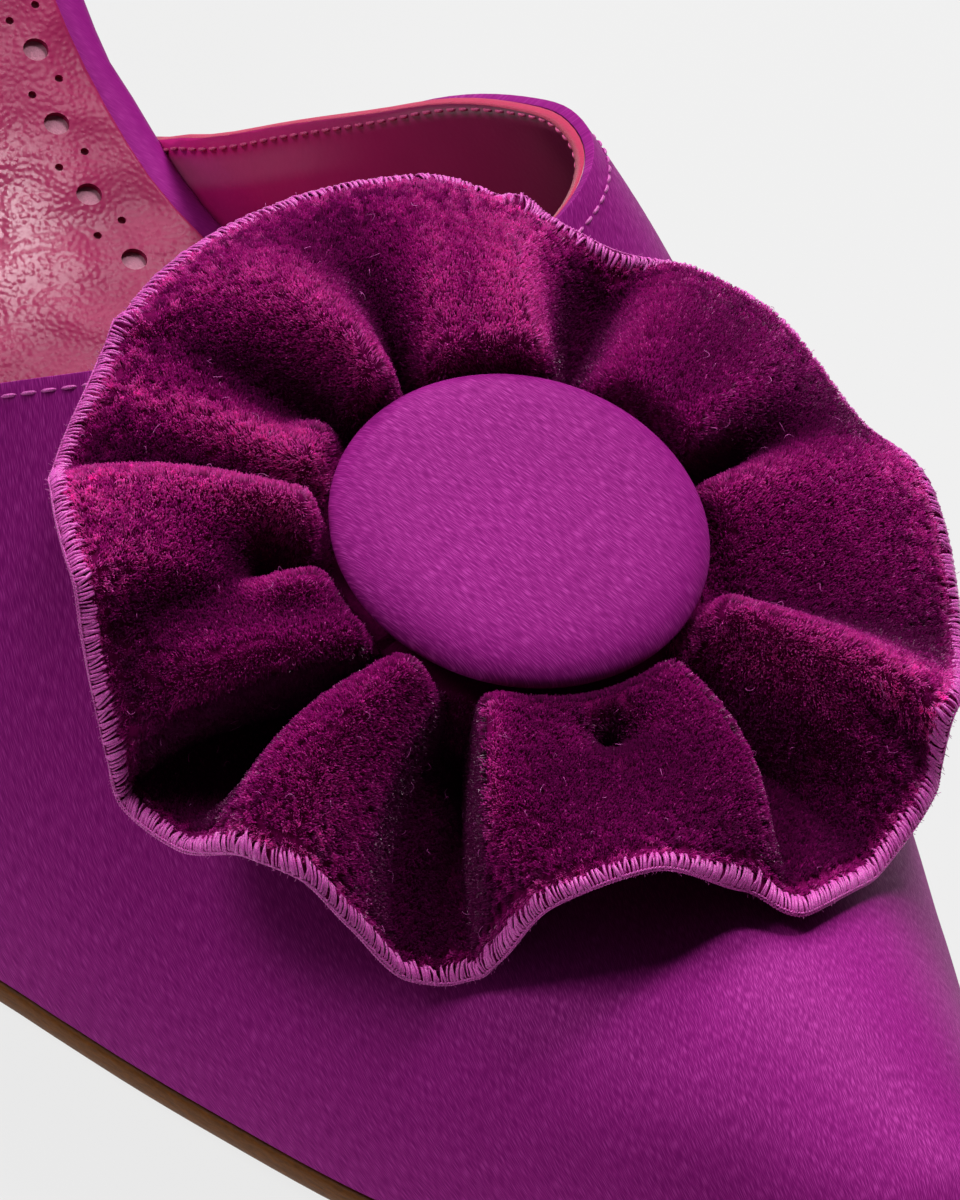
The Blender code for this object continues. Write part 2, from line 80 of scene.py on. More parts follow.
TUCK_RUN = 24.0          # length over which they then tuck in
Topline = namedtuple("Topline", "run power")
OUTER_TOPLINE = Topline(run=38.0, power=1.81)
INNER_TOPLINE = Topline(run=62.7, power=1.95)

# Sizes that the scene sets for itself, in millimetres
BOARD_SWELL = 0.5        # the board swells to the upper along the wings
SWELL_RUN = 5.0          # length over which it swells
WING_DIP = 0.85          # the end of the inner wing dips to the board
DIP_START = 5.2          # where the dip starts, from the wing's end
DIP_RUN = 5.7            # length over which it dips
SLOT_LONG = 11.0         # slots for the strap's feet, shorter than in the solids
SLOT_HIGH = 40.0         # height of their cutters
SLOT_BACK = 0.6          # how far they lie behind the feet
SOCK_SKIN = 0.55         # leather of the sock over its foam
PINHOLE_SET = 1.2        # pinholes stand this far beside the punched line
LINING_GAP = 0.06        # between the satin and the lining
LINING_START = 6         # rows of points of the lining left out at the tip
INSIDE_THE_TOE = (20.0, 0.0, 8.0)
STRAND = 0.1             # filaments of a sewing thread as drawn

# Sections of the last: station, middle of the outline, half width, height of the sole's upper face
LastRow = namedtuple("LastRow", "x axis half seat")
LAST = tuple(LastRow(*row) for row in (
    (-150.0, 0.0, 24.8, 56.0),
    (-130.0, 0.0, 24.8, 53.0),
    (-112.0, -0.2, 24.3, 47.3),
    (-95.0, -1.2, 22.6, 38.4),
    (-75.0, -3.0, 20.7, 26.2),
    (-60.0, -4.2, 20.2, 17.4),
    (-50.0, -4.4, 20.8, 12.2),
    (-40.0, -4.1, 23.1, 8.0),
    (-25.0, -3.0, 28.4, 3.95),
    (-12.0, -1.5, 33.0, 2.65),
    (-8.0, -1.0, 34.1, 2.6),
    (0.0, -0.2, 35.4, 2.6),
    (8.0, 0.6, 35.2, 2.6),
    (22.0, 1.5, 32.4, 2.6),
    (26.0, 1.6, 31.3, 2.6),
    (38.0, 1.6, 27.6, 2.9),
    (52.0, 1.2, 22.7, 3.9),
    (60.0, 1.2, 19.5, 4.8),
    (70.0, 1.4, 15.4, 6.2),
    (80.0, 1.9, 11.3, 7.9),
    (95.0, 2.9, 6.0, 11.2),
))

# Ridge of the upper: station, height over the sole, sideways shift, squareness of the section
RidgeRow = namedtuple("RidgeRow", "x height shift square")
RIDGE = tuple(RidgeRow(*row) for row in (
    (-60.0, 57.1, -1.4, 0.60),
    (-40.0, 68.4, 0.0, 0.60),
    (-25.0, 64.6, 0.9, 0.60),
    (-12.0, 56.1, 1.5, 0.60),
    (0.0, 45.9, 1.9, 0.60),
    (15.0, 33.2, 2.3, 0.71),
    (22.0, 28.3, 2.4, 0.76),
    (30.0, 23.9, 2.5, 0.82),
    (38.0, 21.4, 2.5, 0.88),
    (52.0, 19.6, 2.5, 0.90),
    (60.0, 18.9, 2.4, 0.90),
    (70.0, 17.5, 2.3, 0.90),
    (80.0, 15.0, 2.4, 0.92),
    (88.0, 12.4, 2.7, 0.95),
    (95.0, 9.6, 2.9, 0.95),
))

# Heel sections from the seat down: part of the height, breast, back, half width over that of the seat
HeelRow = namedtuple("HeelRow", "part breast back width")
HEEL = tuple(HeelRow(*row) for row in (
    (0.00, -107.0, -149.5, 0.985),
    (0.06, -110.5, -149.6, 0.955),
    (0.14, -115.5, -149.0, 0.85),
    (0.24, -120.5, -147.6, 0.66),
    (0.36, -124.6, -145.6, 0.48),
    (0.50, -127.2, -143.6, 0.35),
    (0.66, -128.8, -142.0, 0.27),
    (0.82, -129.7, -140.9, 0.225),
    (1.00, -130.2, -140.2, 0.205),
))

# Middle line of the sling strap from the back round to the sole, the same on both sides of the foot
StrapRow = namedtuple("StrapRow", "x out z lean wide")
STRAP = tuple(StrapRow(*row) for row in (
    (-150.4, 0.0, 98.2, 0.0, 7.0),
    (-149.0, 9.0, 97.4, 5.0, 7.0),
    (-143.5, 17.2, 94.2, 15.0, 7.0),
    (-134.0, 22.6, 88.4, 28.0, 7.0),
    (-123.5, 25.0, 80.4, 40.0, 7.0),
    (-113.5, 25.4, 69.8, 52.0, 7.0),
    (-106.0, 24.4, 58.2, 64.0, 7.0),
    (-102.0, 23.0, 48.2, 86.0, 7.6),
    (-100.0, 22.6, 41.7, 121.0, 10.9),
))

# Section of the covered button, flatter than its solid: radius, height over its widest circle
ButtonRow = namedtuple("ButtonRow", "radius height")
BUTTON = tuple(ButtonRow(*row) for row in (
    (0.0, 1.4),
    (5.0, 1.35),
    (9.5, 1.16),
    (11.6, 0.8),
    (12.55, 0.36),
    (13.0, -0.1),
    (13.05, -0.5),
    (12.7, -1.05),
    (11.9, -1.85),
    (10.4, -2.6),
    (0.0, -2.9),
))

# Gathered ruffle. Heights are over the button's widest circle, angles run from the toe to the inner side
CLOTH_REST = 1.35        # the cloth rests this far over the vamp
REST_SOFT = 0.4          # softness of that rest
SEAM_RADIUS = 9.5        # gathers under the button
SEAM_HEIGHT = -4.3       # their height
COLLAR_RADIUS = 15.4     # where the folds have risen from the gathers
MIDDLE_RADIUS = 23.0     # about halfway to the rim
LIFT_RADIUS = 12.6       # where they start to rise
STRIP_WIDE = 23.0        # the cloth's way from the gathers to the rim
RIM_RUN = 22.5           # that way in plan
RING_STEPS = 6000        # steps when the length of a ring is measured

# Crests and hollows in turn: angles, then heights, at the collar, the middle and the rim; the rim's radius
FoldRow = namedtuple("FoldRow", "angle_in angle_mid angle_rim high_in high_mid high_rim reach")
FOLDS = tuple(FoldRow(*row) for row in (
    (-164.0, -163.5, -160.0, 2.0, 2.4, -2.6, 32.0),
    (-149.0, -147.0, -145.0, -3.4, -1.6, -2.2, 31.3),
    (-134.0, -137.0, -135.0, -0.4, -1.2, -2.0, 30.9),
    (-124.0, -125.0, -123.0, -3.6, -2.8, -2.6, 31.5),
    (-116.0, -117.0, -113.0, 1.2, 1.6, 1.6, 32.0),
    (-101.0, -103.0, -100.0, -3.0, 0.4, 2.6, 32.0),
    (-93.0, -95.0, -94.0, -0.2, -0.8, -0.1, 32.0),
    (-77.0, -84.0, -87.5, 0.0, 0.0, -4.0, 32.0),
    (-73.0, -80.0, -84.0, -1.3, -1.5, -6.4, 32.0),
    (-77.0, -85.0, -79.5, -8.0, -9.8, -9.4, 32.0),
    (-66.0, -70.5, -70.0, -7.8, -9.0, -8.0, 32.0),
    (-62.5, -66.5, -61.0, -0.4, -0.8, -3.6, 32.0),
    (-58.0, -61.0, -54.0, 0.7, 0.2, -2.7, 32.0),
    (-51.0, -52.0, -46.5, -1.6, -2.6, -5.4, 32.0),
    (-46.5, -46.0, -38.0, -6.8, -8.2, -9.2, 32.0),
    (-34.5, -32.0, -31.0, -8.2, -9.6, -8.2, 32.0),
    (-35.0, -32.4, -28.0, -0.2, 0.6, -5.0, 32.0),
    (-31.0, -28.5, -24.2, 0.5, 1.4, 0.9, 31.8),
    (-10.0, -10.0, -12.0, 0.3, 1.8, 4.4, 31.4),
    (15.0, 11.5, 0.5, 0.6, 1.4, 0.3, 32.0),
    (20.5, 16.0, 6.0, -6.4, -7.4, -0.6, 35.3),
    (30.0, 29.0, 23.0, -3.8, -4.4, -4.6, 33.5),
    (37.0, 37.0, 35.5, -1.4, -1.2, -4.6, 32.7),
    (43.0, 43.5, 41.5, 0.2, 0.6, -0.3, 31.8),
    (56.0, 59.0, 65.0, -3.6, -4.6, -9.0, 32.0),
    (85.0, 86.0, 85.0, -1.2, -2.2, -6.8, 32.0),
    (95.5, 97.0, 100.0, -8.0, -3.8, -10.0, 32.0),
    (102.0, 109.0, 118.0, 0.6, -0.8, -6.9, 32.0),
    (124.0, 125.0, 127.0, 0.4, -1.0, -7.0, 32.0),
    (139.0, 138.0, 138.0, -5.4, -5.0, -2.4, 27.3),
    (152.0, 155.0, 151.0, 1.2, 1.0, -2.0, 28.8),
    (172.0, 167.0, 165.0, 0.6, 0.9, -2.6, 32.0),
    (183.5, 181.0, 180.0, -4.2, -0.9, -2.4, 32.0),
))

# Dents and small ridges pressed into the folds: angle, radius, spread both ways, depth
DentRow = namedtuple("DentRow", "angle radius angle_wide radius_wide depth")
DENTS = tuple(DentRow(*row) for row in (
    (-7.2, 18.0, 5.5, 1.5, 3.2),
    (-104.0, 17.2, 6.5, 2.4, 3.4),
    (-93.5, 17.4, 4.5, 2.4, -1.2),
    (-143.5, 15.2, 6.0, 1.6, -1.8),
))

# Painted light and shade round the ring: degrees from the toe, and the share of the full tone
PAINTED_LIGHT_AROUND = (
    (-180.0, 0.9), (-165.0, 0.95), (-130.0, 1.25), (-104.0, 1.05), (-89.0, 0.64), (-75.0, 0.55), (-55.0, 0.72),
    (-42.0, 0.7), (-33.0, 1.0), (-24.0, 0.55), (0.0, 0.46), (12.0, 0.5), (22.0, 0.7), (30.0, 1.1), (36.0, 1.5),
    (43.0, 1.0), (60.0, 1.0), (85.0, 0.9), (97.0, 0.6), (112.0, 0.58), (140.0, 0.75), (160.0, 1.35), (172.0, 1.0),
    (180.0, 0.9),
)

# Pile of the velvet
BAND_END = 0.65          # short pile beside the overlock
GROOVE_END = 0.85        # bare groove behind it
# The least share of tone that the painted shade leaves under an overhang
LEAST_PAINTED_SHARE = 0.16        # least share of tone under an overhang
LEAST_TONE = 0.28        # least tone of a fibre
PILE_PIECES = 4          # pieces that the pile is split into
BAKE_SPOT = 0.0012       # size of a fibre's spot on the baked map

# Plates of the sole: how far a ring is drawn in, its share of the width, its height
RimRow = namedtuple("RimRow", "inset share height")
OUTSOLE_RIM = tuple(RimRow(*row) for row in (
    (1.6, 0.0, -2.6),
    (1.6, 0.5, -2.6),
    (1.6, 1.0, -2.6),
    (1.0, 1.0, -2.42),
    (0.3, 1.0, -1.95),
    (0.05, 1.0, -1.6),
    (0.0, 1.0, -1.2),
    (0.0, 1.0, -0.55),
    (0.14, 1.0, -0.2),
    (0.6, 1.0, 0.0),
    (0.6, 0.5, 0.0),
    (0.6, 0.0, 0.0),
))
BOARD_RIM = tuple(RimRow(*row) for row in (
    (0.5, 0.0, 0.0),
    (0.5, 0.6, 0.0),
    (0.5, 1.0, 0.0),
    (0.1, 1.0, 0.3),
    (0.0, 1.0, 0.8),
    (0.05, 1.0, 1.5),
    (0.28, 1.0, 2.15),
    (0.7, 1.0, 2.62),
    (1.25, 1.0, 2.9),
    (1.9, 1.0, 3.0),
    (2.6, 1.0, 3.0),
    (2.6, 0.8, 3.0),
    (2.6, 0.4, 3.0),
    (2.6, 0.0, 3.0),
))

# Line of holes punched along both sides of the sock: station, distance from the edge of the sole
PunchRow = namedtuple("PunchRow", "x inset")
PUNCH_LINE = tuple(PunchRow(*row) for row in (
    (-142.0, 6.0),
    (-62.0, 5.9),
    (-54.2, 7.3),
    (-48.4, 8.1),
    (-42.7, 8.9),
    (-30.0, 9.6),
    (20.0, 9.8),
))
PUNCH_START = -60.04

# The camera stands where the photograph was taken from, in millimetres
CAMERA_EYE = (508.95, -260.71, 431.54)
CAMERA_AZIMUTH = 28.478
CAMERA_ELEVATION = 36.23
CAMERA_LENS = 299.52


def smooth_curve(rows, column):
    """A smooth function of the first column through another one, flat where two rows agree."""
    xs = np.array([row[0] for row in rows])
    ys = np.array([getattr(row, column) for row in rows])
    steps = np.diff(ys) / np.diff(xs)
    slopes = np.zeros(len(xs))
    slopes[0], slopes[-1] = steps[0], steps[-1]
    for k in range(1, len(xs) - 1):
        before, after = steps[k - 1], steps[k]
        slopes[k] = 0.0 if before * after <= 0.0 else 2.0 * before * after / (before + after)

    def value(x):
        x = np.clip(x, xs[0], xs[-1])
        k = np.clip(np.searchsorted(xs, x) - 1, 0, len(xs) - 2)
        span = xs[k + 1] - xs[k]
        t = (x - xs[k]) / span
        rise = ys[k + 1] - ys[k]
        bend = (1.0 - t) * (slopes[k] * span - rise) - t * (slopes[k + 1] * span - rise)
        return ys[k] + t * rise + t * (1.0 - t) * bend

    return value


axis_at = smooth_curve(LAST, "axis")
half_at = smooth_curve(LAST, "half")
seat_at = smooth_curve(LAST, "seat")
ridge_height = smooth_curve(RIDGE, "height")
ridge_shift = smooth_curve(RIDGE, "shift")
ridge_square = smooth_curve(RIDGE, "square")
heel_breast = smooth_curve(HEEL, "breast")
heel_back = smooth_curve(HEEL, "back")
heel_width = smooth_curve(HEEL, "width")
punch_inset = smooth_curve(PUNCH_LINE, "inset")


def end_round(distance, reach):
    """Quarter ellipse from 0 at an end to 1 a reach away from it."""
    t = np.clip(distance / reach, 0.0, 1.0)
    return np.sqrt(1.0 - (1.0 - t) ** 2)


def ease(t):
    """Smooth step from 0 to 1."""
    t = np.clip(t, 0.0, 1.0)
    return t * t * (3.0 - 2.0 * t)


def end_spaced(u):
    """Spread of stations that gathers at both ends."""
    return 0.3 * u + 0.7 * (1.0 - np.cos(np.pi * u)) / 2.0


def closing(x, inset=0.0):
    """How far the plan outline has opened at a station, for an outline drawn in by inset."""
    return end_round(TOE_TIP - inset - x, TOE_ROUND) * end_round(x - HEEL_BACK - inset, HEEL_ROUND)


def outline(x, side, inset=0.0):
    """Edge of the last's plan on one side: -1 outer, +1 inner."""
    return axis_at(x) + side * (half_at(x) - inset) * closing(x, inset)


def tuck(x, side):
    """0 where the upper passes outside the board, at its back ends, to 1 where it is tucked in."""
    return ease((x - wing_end(side) - TUCK_START) / TUCK_RUN)


def wing_end(side):
    """Station where the topline meets the sole."""
    return np.where(np.asarray(side) > 0, THROAT - INNER_TOPLINE.run, THROAT - OUTER_TOPLINE.run)


def board_edge(x, side, inset=0.0):
    """Edge of the insole board, which draws in beside the upper and closes the seam along it."""
    seam = BOARD_SWELL * ease((x - wing_end(side) + SWELL_RUN) / SWELL_RUN)
    room = UPPER_ROOM * tuck(x, side) - seam
    opened = closing(x, inset + np.where(x < 0.0, 0.0, UPPER_ROOM))
    return axis_at(x) + side * (half_at(x) - room - inset) * opened


def topline_station(turn):
    """Station of the upper's edge; turn runs from -1 at the outer sole to +1 at the inner sole."""
    inner = THROAT - INNER_TOPLINE.run * np.abs(turn) ** INNER_TOPLINE.power
    outer = THROAT - OUTER_TOPLINE.run * np.abs(turn) ** OUTER_TOPLINE.power
    return np.where(turn > 0, inner, outer)


def upper_points(x, turn):
    """Points on the outside of the upper at stations and turns round its section."""
    angle = (1.0 - np.abs(turn)) * math.pi / 2.0
    side = np.where(turn > 0, 1.0, -1.0)
    ridge_y = axis_at(x) + (ridge_shift(x) - axis_at(x)) * closing(x)
    edge = outline(x, side) + side * (WALL + GAP) * (1.0 - tuck(x, side))
    y = ridge_y + (edge - ridge_y) * np.maximum(np.cos(angle), 0.0) ** ridge_square(x)
    crown = ridge_height(x) * end_round(TOE_TIP - x, CROWN_ROUND)
    z = seat_at(x) + GAP + crown * np.sin(angle) ** 0.95
    z = z - WING_DIP * np.where(turn > 0, ease((wing_end(1.0) + DIP_START - x) / DIP_RUN), 0.0)
    return np.stack(np.broadcast_arrays(x, y, z), axis=-1)


def upper_height(x, y):
    """Height of the upper over spots in plan, and how far they lie in front of the topline."""
    side = np.where(y > ridge_shift(x), 1.0, -1.0)
    share = np.clip((y - ridge_shift(x)) / (outline(x, side) - ridge_shift(x)), 0.0, 1.0)
    angle = np.arccos(share ** (1.0 / ridge_square(x)))
    turn = side * (1.0 - angle / (math.pi / 2.0))
    return upper_points(x, turn)[..., 2], x - topline_station(turn)


def round_the_fold(column, place):
    """One column of the fold table at places counted in rows, carried smoothly round the ring."""
    values = np.array([getattr(row, column) for row in FOLDS])
    turn = 360.0 if column.startswith("angle") else 0.0
    start = np.floor(place).astype(int)
    t = place - start

    def row_value(step):
        laps, row = np.divmod(start + step, len(values))
        return values[row] + laps * turn

    before, here, after, beyond = (row_value(step) for step in (-1, 0, 1, 2))
    rise = after - here
    slopes = []
    for low, high in ((here - before, rise), (rise, beyond - after)):
        both = np.where(low * high > 0.0, low + high, 1.0)
        slopes.append(np.where(low * high > 0.0, 2.0 * low * high / both, 0.0))
    return here + t * rise + t * (1.0 - t) * ((1.0 - t) * (slopes[0] - rise) - t * (slopes[1] - rise))


def through_three(x, xs, ys):
    """Parabola through three points."""
    total = 0.0
    for i in range(3):
        part = ys[i]
        for j in range(3):
            if j != i:
                part = part * (x - xs[j]) / (xs[i] - xs[j])
        total = total + part
    return total


def button_frame():
    """Middle of the button's widest circle, and the ways to the toe, to the inner side and up."""
    tilt = math.radians(BUTTON_TILT)
    up = np.array((math.sin(tilt), 0.0, math.cos(tilt)))
    toe = np.array((math.cos(tilt), 0.0, -math.sin(tilt)))
    inner = np.array((0.0, 1.0, 0.0))
    centre = upper_points(np.array(BUTTON_STATION), np.array(0.0)) + up * BUTTON_RISE
    return centre, toe, inner, up


def ruffle_points(place, part):
    """Points of the velvet: place counts fold rows round the ring, part runs from seam to rim."""
    place, part = np.broadcast_arrays(np.asarray(place, float), np.asarray(part, float))
    reach = round_the_fold("reach", place)
    radii = (COLLAR_RADIUS, MIDDLE_RADIUS, reach)
    angles = [round_the_fold(name, place) for name in ("angle_in", "angle_mid", "angle_rim")]
    highs = [round_the_fold(name, place) for name in ("high_in", "high_mid", "high_rim")]
    radius = SEAM_RADIUS + (reach - SEAM_RADIUS) * part
    beyond = np.maximum(radius, COLLAR_RADIUS)
    degrees = through_three(beyond, radii, angles)
    height = through_three(beyond, radii, highs)
    for dent in DENTS:
        off = (degrees - dent.angle + 180.0) % 360.0 - 180.0
        near = (off / dent.angle_wide) ** 2 + ((radius - dent.radius) / dent.radius_wide) ** 2
        height = height - dent.depth * np.exp(-near)
    lift = ease((radius - LIFT_RADIUS) / (COLLAR_RADIUS - LIFT_RADIUS))
    height = SEAM_HEIGHT + (height - SEAM_HEIGHT) * lift
    centre, toe, inner, up = button_frame()
    angle = np.radians(degrees)[..., None]
    flat = toe * np.cos(angle) + inner * np.sin(angle)
    spot = centre + flat * radius[..., None] + up * height[..., None]
    ground, inside = upper_height(spot[..., 0], spot[..., 1])
    sunk = ground + CLOTH_REST - spot[..., 2]
    soft = np.clip(sunk, -REST_SOFT, REST_SOFT)
    eased = (soft + REST_SOFT) ** 2 / (4.0 * REST_SOFT)
    rise = np.where(np.abs(sunk) > REST_SOFT, np.maximum(sunk, 0.0), eased)
    spot[..., 2] += rise * ease((inside + 3.0) / 2.0)
    return spot


def unit(vectors):
    """Vectors of length 1."""
    return vectors / np.maximum(np.linalg.norm(vectors, axis=-1, keepdims=True), 1e-9)


def run_along(points):
    """Length of a line of points up to each of them."""
    return np.concatenate([[0.0], np.cumsum(np.linalg.norm(np.diff(points, axis=0), axis=-1))])


def ruffle_frames(place, part):
    """Points of the velvet with their ways round the ring and out to the rim, and their normals."""
    step_place, step_part = 0.02, 0.004
    spot = ruffle_points(place, part)
    around = ruffle_points(place + step_place, part) - ruffle_points(place - step_place, part)
    outward = ruffle_points(place, part + step_part) - ruffle_points(place, part - step_part)
    normal = unit(np.cross(outward, around))
    return spot, around / (2.0 * step_place), outward / (2.0 * step_part), normal


def grid_normals(points):
    """Normals of a grid of points, by the differences along its two ways."""
    along = np.gradient(points, axis=0)
    across = np.gradient(points, axis=1)
    return unit(np.cross(along, across))


def strap_points(place, across):
    """Middle of the strap's thickness: place runs from -1 at the outer foot to +1 at the inner one."""
    place, across = np.broadcast_arrays(np.asarray(place, float), np.asarray(across, float))
    table = np.array(STRAP)
    ahead = table[1] * np.array((1.0, -1.0, 1.0, 1.0, 1.0))
    table = np.concatenate([ahead[None], table, table[-1:]])
    side = np.where(place > 0.0, 1.0, -1.0)
    last = len(STRAP) - 1
    k = np.minimum((np.abs(place) * last).astype(int), last - 1)
    t = np.abs(place) * last - k
    weights = (
        (-t + 2.0 * t ** 2 - t ** 3) / 2.0,
        (2.0 - 5.0 * t ** 2 + 3.0 * t ** 3) / 2.0,
        (t + 4.0 * t ** 2 - 3.0 * t ** 3) / 2.0,
        (-t ** 2 + t ** 3) / 2.0,
    )
    row = sum(w[..., None] * table[k + step] for step, w in enumerate(weights))
    x, out, z, lean, wide = (row[..., column] for column in range(5))
    foot = STRAP[-1]
    shift = outline(foot.x, side) - side * (foot.out + STRAP_SET)
    tilt = np.radians(lean)
    y = side * out + shift * ease((np.abs(place) - 0.3) / 0.7)
    return np.stack([x + across * wide * np.sin(tilt), y, z + across * wide * np.cos(tilt)], axis=-1)


def hex_colour(text):
    """An sRGB hex colour as linear red, green, blue and alpha."""
    channels = [int(text[k:k + 2], 16) / 255.0 for k in (1, 3, 5)]
    linear = [c / 12.92 if c <= 0.04045 else ((c + 0.055) / 1.055) ** 2.4 for c in channels]
    return (*linear, 1.0)


def length(name, description, size):
    """A length that a user may change, given in millimetres."""
    return bpy.props.FloatProperty(
        name=name, description=description, default=size * MM, min=0.0, precision=5, unit="LENGTH"
    )


def colour(name, description, text):
    """A colour that a user may change."""
    return bpy.props.FloatVectorProperty(
        name=name, description=description, default=hex_colour(text), size=4, min=0.0, max=1.0, subtype="COLOR"
    )


def power(name, description, watts):
    """A lamp's power that a user may change."""
    return bpy.props.FloatProperty(name=name, description=description, default=watts, unit="POWER")


class PumpSatin(bpy.types.PropertyGroup):
    """Satin of the upper, the board, the heel, the strap and the button"""

    body: colour("Satin", "Colour of the satin's face", "#951E7F")
    shade: colour("Satin between threads", "Colour in the grooves of the weave", "#7C126C")
    # The gloss tint serves the sheen and the painted glints on the floats
    gloss: colour("Satin gloss", "Tint of the light on the dyed floats", "#D052BA")
    thread: length("Thread", "Width of a warp float as drawn", 0.06)
    float_length: length("Float", "Length of a warp float as drawn", 0.8)
    wall: length("Satin wall", "Thickness of the satin and its backing", 0.8)


class PumpVelvet(bpy.types.PropertyGroup):
    """Velvet of the ruffle"""

    # The dark root colour is painted shade deep in the pile
    root: colour("Pile root", "Colour deep in the pile", "#5A0048")
    tip: colour("Pile tip", "Colour at the cut ends of the pile", "#E026B0")
    ground: colour("Ground cloth", "Colour of the cloth that the pile grows from", "#5C003E")
    cloth: length("Ground cloth", "Thickness of the cloth under the pile", 0.45)
    pile: length("Pile", "Length of the pile", 0.58)
    row: length("Tuft rows", "Distance between rows of tufts", 0.62)
    tuft: length("Tufts", "Distance between tufts along a row", 0.46)
    fibre: length("Fibre", "Width of a fibre as drawn", 0.09)
    fibres: bpy.props.IntProperty(
        name="Fibres", description="Fibres drawn in each tuft", default=38, min=1, max=80
    )


class PumpThread(bpy.types.PropertyGroup):
    """Sewing threads"""

    overlock: colour("Overlock", "Colour of the thread along the rim of the ruffle", "#D858BA")
    topline: colour("Topline", "Colour of the stitches beside the topline", "#D05CB4")
    overlock_pitch: length("Overlock pitch", "Distance between overlock stitches", 0.25)
    overlock_deep: length("Overlock depth", "How far the overlock reaches in from the rim", 1.15)
    pitch: length("Stitch pitch", "Distance between plain stitches", 1.4)
    outer_set: length("Outer set", "Distance of the stitches from the topline on the outer side", 0.95)
    inner_set: length("Inner set", "Distance of the stitches from the topline on the inner side", 1.8)
    lining_set: length("Lining set", "Distance of the lining's stitches from its edge", 0.75)


class PumpLeather(bpy.types.PropertyGroup):
    """Leather of the lining, the sock and the sole"""

    lining: colour("Lining", "Colour of the vamp lining", "#A41462")
    cut_edge: colour("Cut edge", "Colour of the lining's cut edge", "#B81C50")
    sock: colour("Sock", "Colour of the glazed sock", "#941E50")
    foam: colour("Foam", "Colour of the foam seen through the holes", "#B5788E")
    sole: colour("Sole", "Colour of the sole's edge", "#653809")
    hole: length("Hole", "Diameter of a large hole", 1.95)
    pinhole: length("Pinhole", "Diameter of a small hole", 0.65)
    punch: length("Punch pitch", "Distance between large holes", 6.5)


class PumpStage(bpy.types.PropertyGroup):
    """Floor and light"""

    floor: colour("Floor", "Colour of the floor", "#F4F4F4")
    glow: bpy.props.FloatProperty(name="Glow", description="Light that the floor gives from below", default=0.88)
    key: power("Key", "Power of the light behind the heel", 6.2)
    top: power("Top", "Power of the light above", 6.0)
    side: power("Side", "Power of the light on the outer side", 4.8)
    sky: bpy.props.FloatProperty(name="Sky", description="Strength of the light all round", default=0.05)


class PumpSettings(bpy.types.PropertyGroup):
    """All settings of the pump"""

    satin: bpy.props.PointerProperty(type=PumpSatin, name="Satin", description="Satin settings")
    velvet: bpy.props.PointerProperty(type=PumpVelvet, name="Velvet", description="Velvet settings")
    thread: bpy.props.PointerProperty(type=PumpThread, name="Thread", description="Thread settings")
    leather: bpy.props.PointerProperty(type=PumpLeather, name="Leather", description="Leather settings")
    stage: bpy.props.PointerProperty(type=PumpStage, name="Stage", description="Stage settings")


def add_node(tree, kind, inputs=None, **settings):
    """Add a shader node; settings are its properties, inputs are values or sockets to link."""
    made = tree.nodes.new(kind)
    for name, value in settings.items():
        setattr(made, name, value)
    for name, value in (inputs or {}).items():
        if isinstance(value, bpy.types.NodeSocket):
            tree.links.new(value, made.inputs[name])
        else:
            made.inputs[name].default_value = value
    return made


def new_material(name, **values):
    """A Principled material, its node tree and its shader, with constant values on its sockets."""
    made = bpy.data.materials.new(name)
    made.use_nodes = True
    shader = made.node_tree.nodes["Principled BSDF"]
    for socket, value in values.items():
        shader.inputs[socket.replace("_", " ")].default_value = value
    return made, made.node_tree, shader


def wire(tree, shader, **sockets):
    """Link sockets to the shader's own."""
    for name, socket in sockets.items():
        tree.links.new(socket, shader.inputs[name.replace("_", " ")])


def scaled(linear, factor):
    """A colour made lighter or darker."""
    return (*(min(channel * factor, 1.0) for channel in linear[:3]), 1.0)


def grained(tree, shader, pattern, dark, light, strength, deep):
    """Colour a surface between two tones by a pattern, and raise it by the same pattern."""
    shown = add_node(tree, "ShaderNodeMix", {0: pattern, 6: dark, 7: light}, data_type="RGBA")
    bump = add_node(tree, "ShaderNodeBump", {"Height": pattern, "Strength": strength, "Distance": deep * MM})
    wire(tree, shader, Base_Color=shown.outputs[2], Normal=bump.outputs["Normal"])


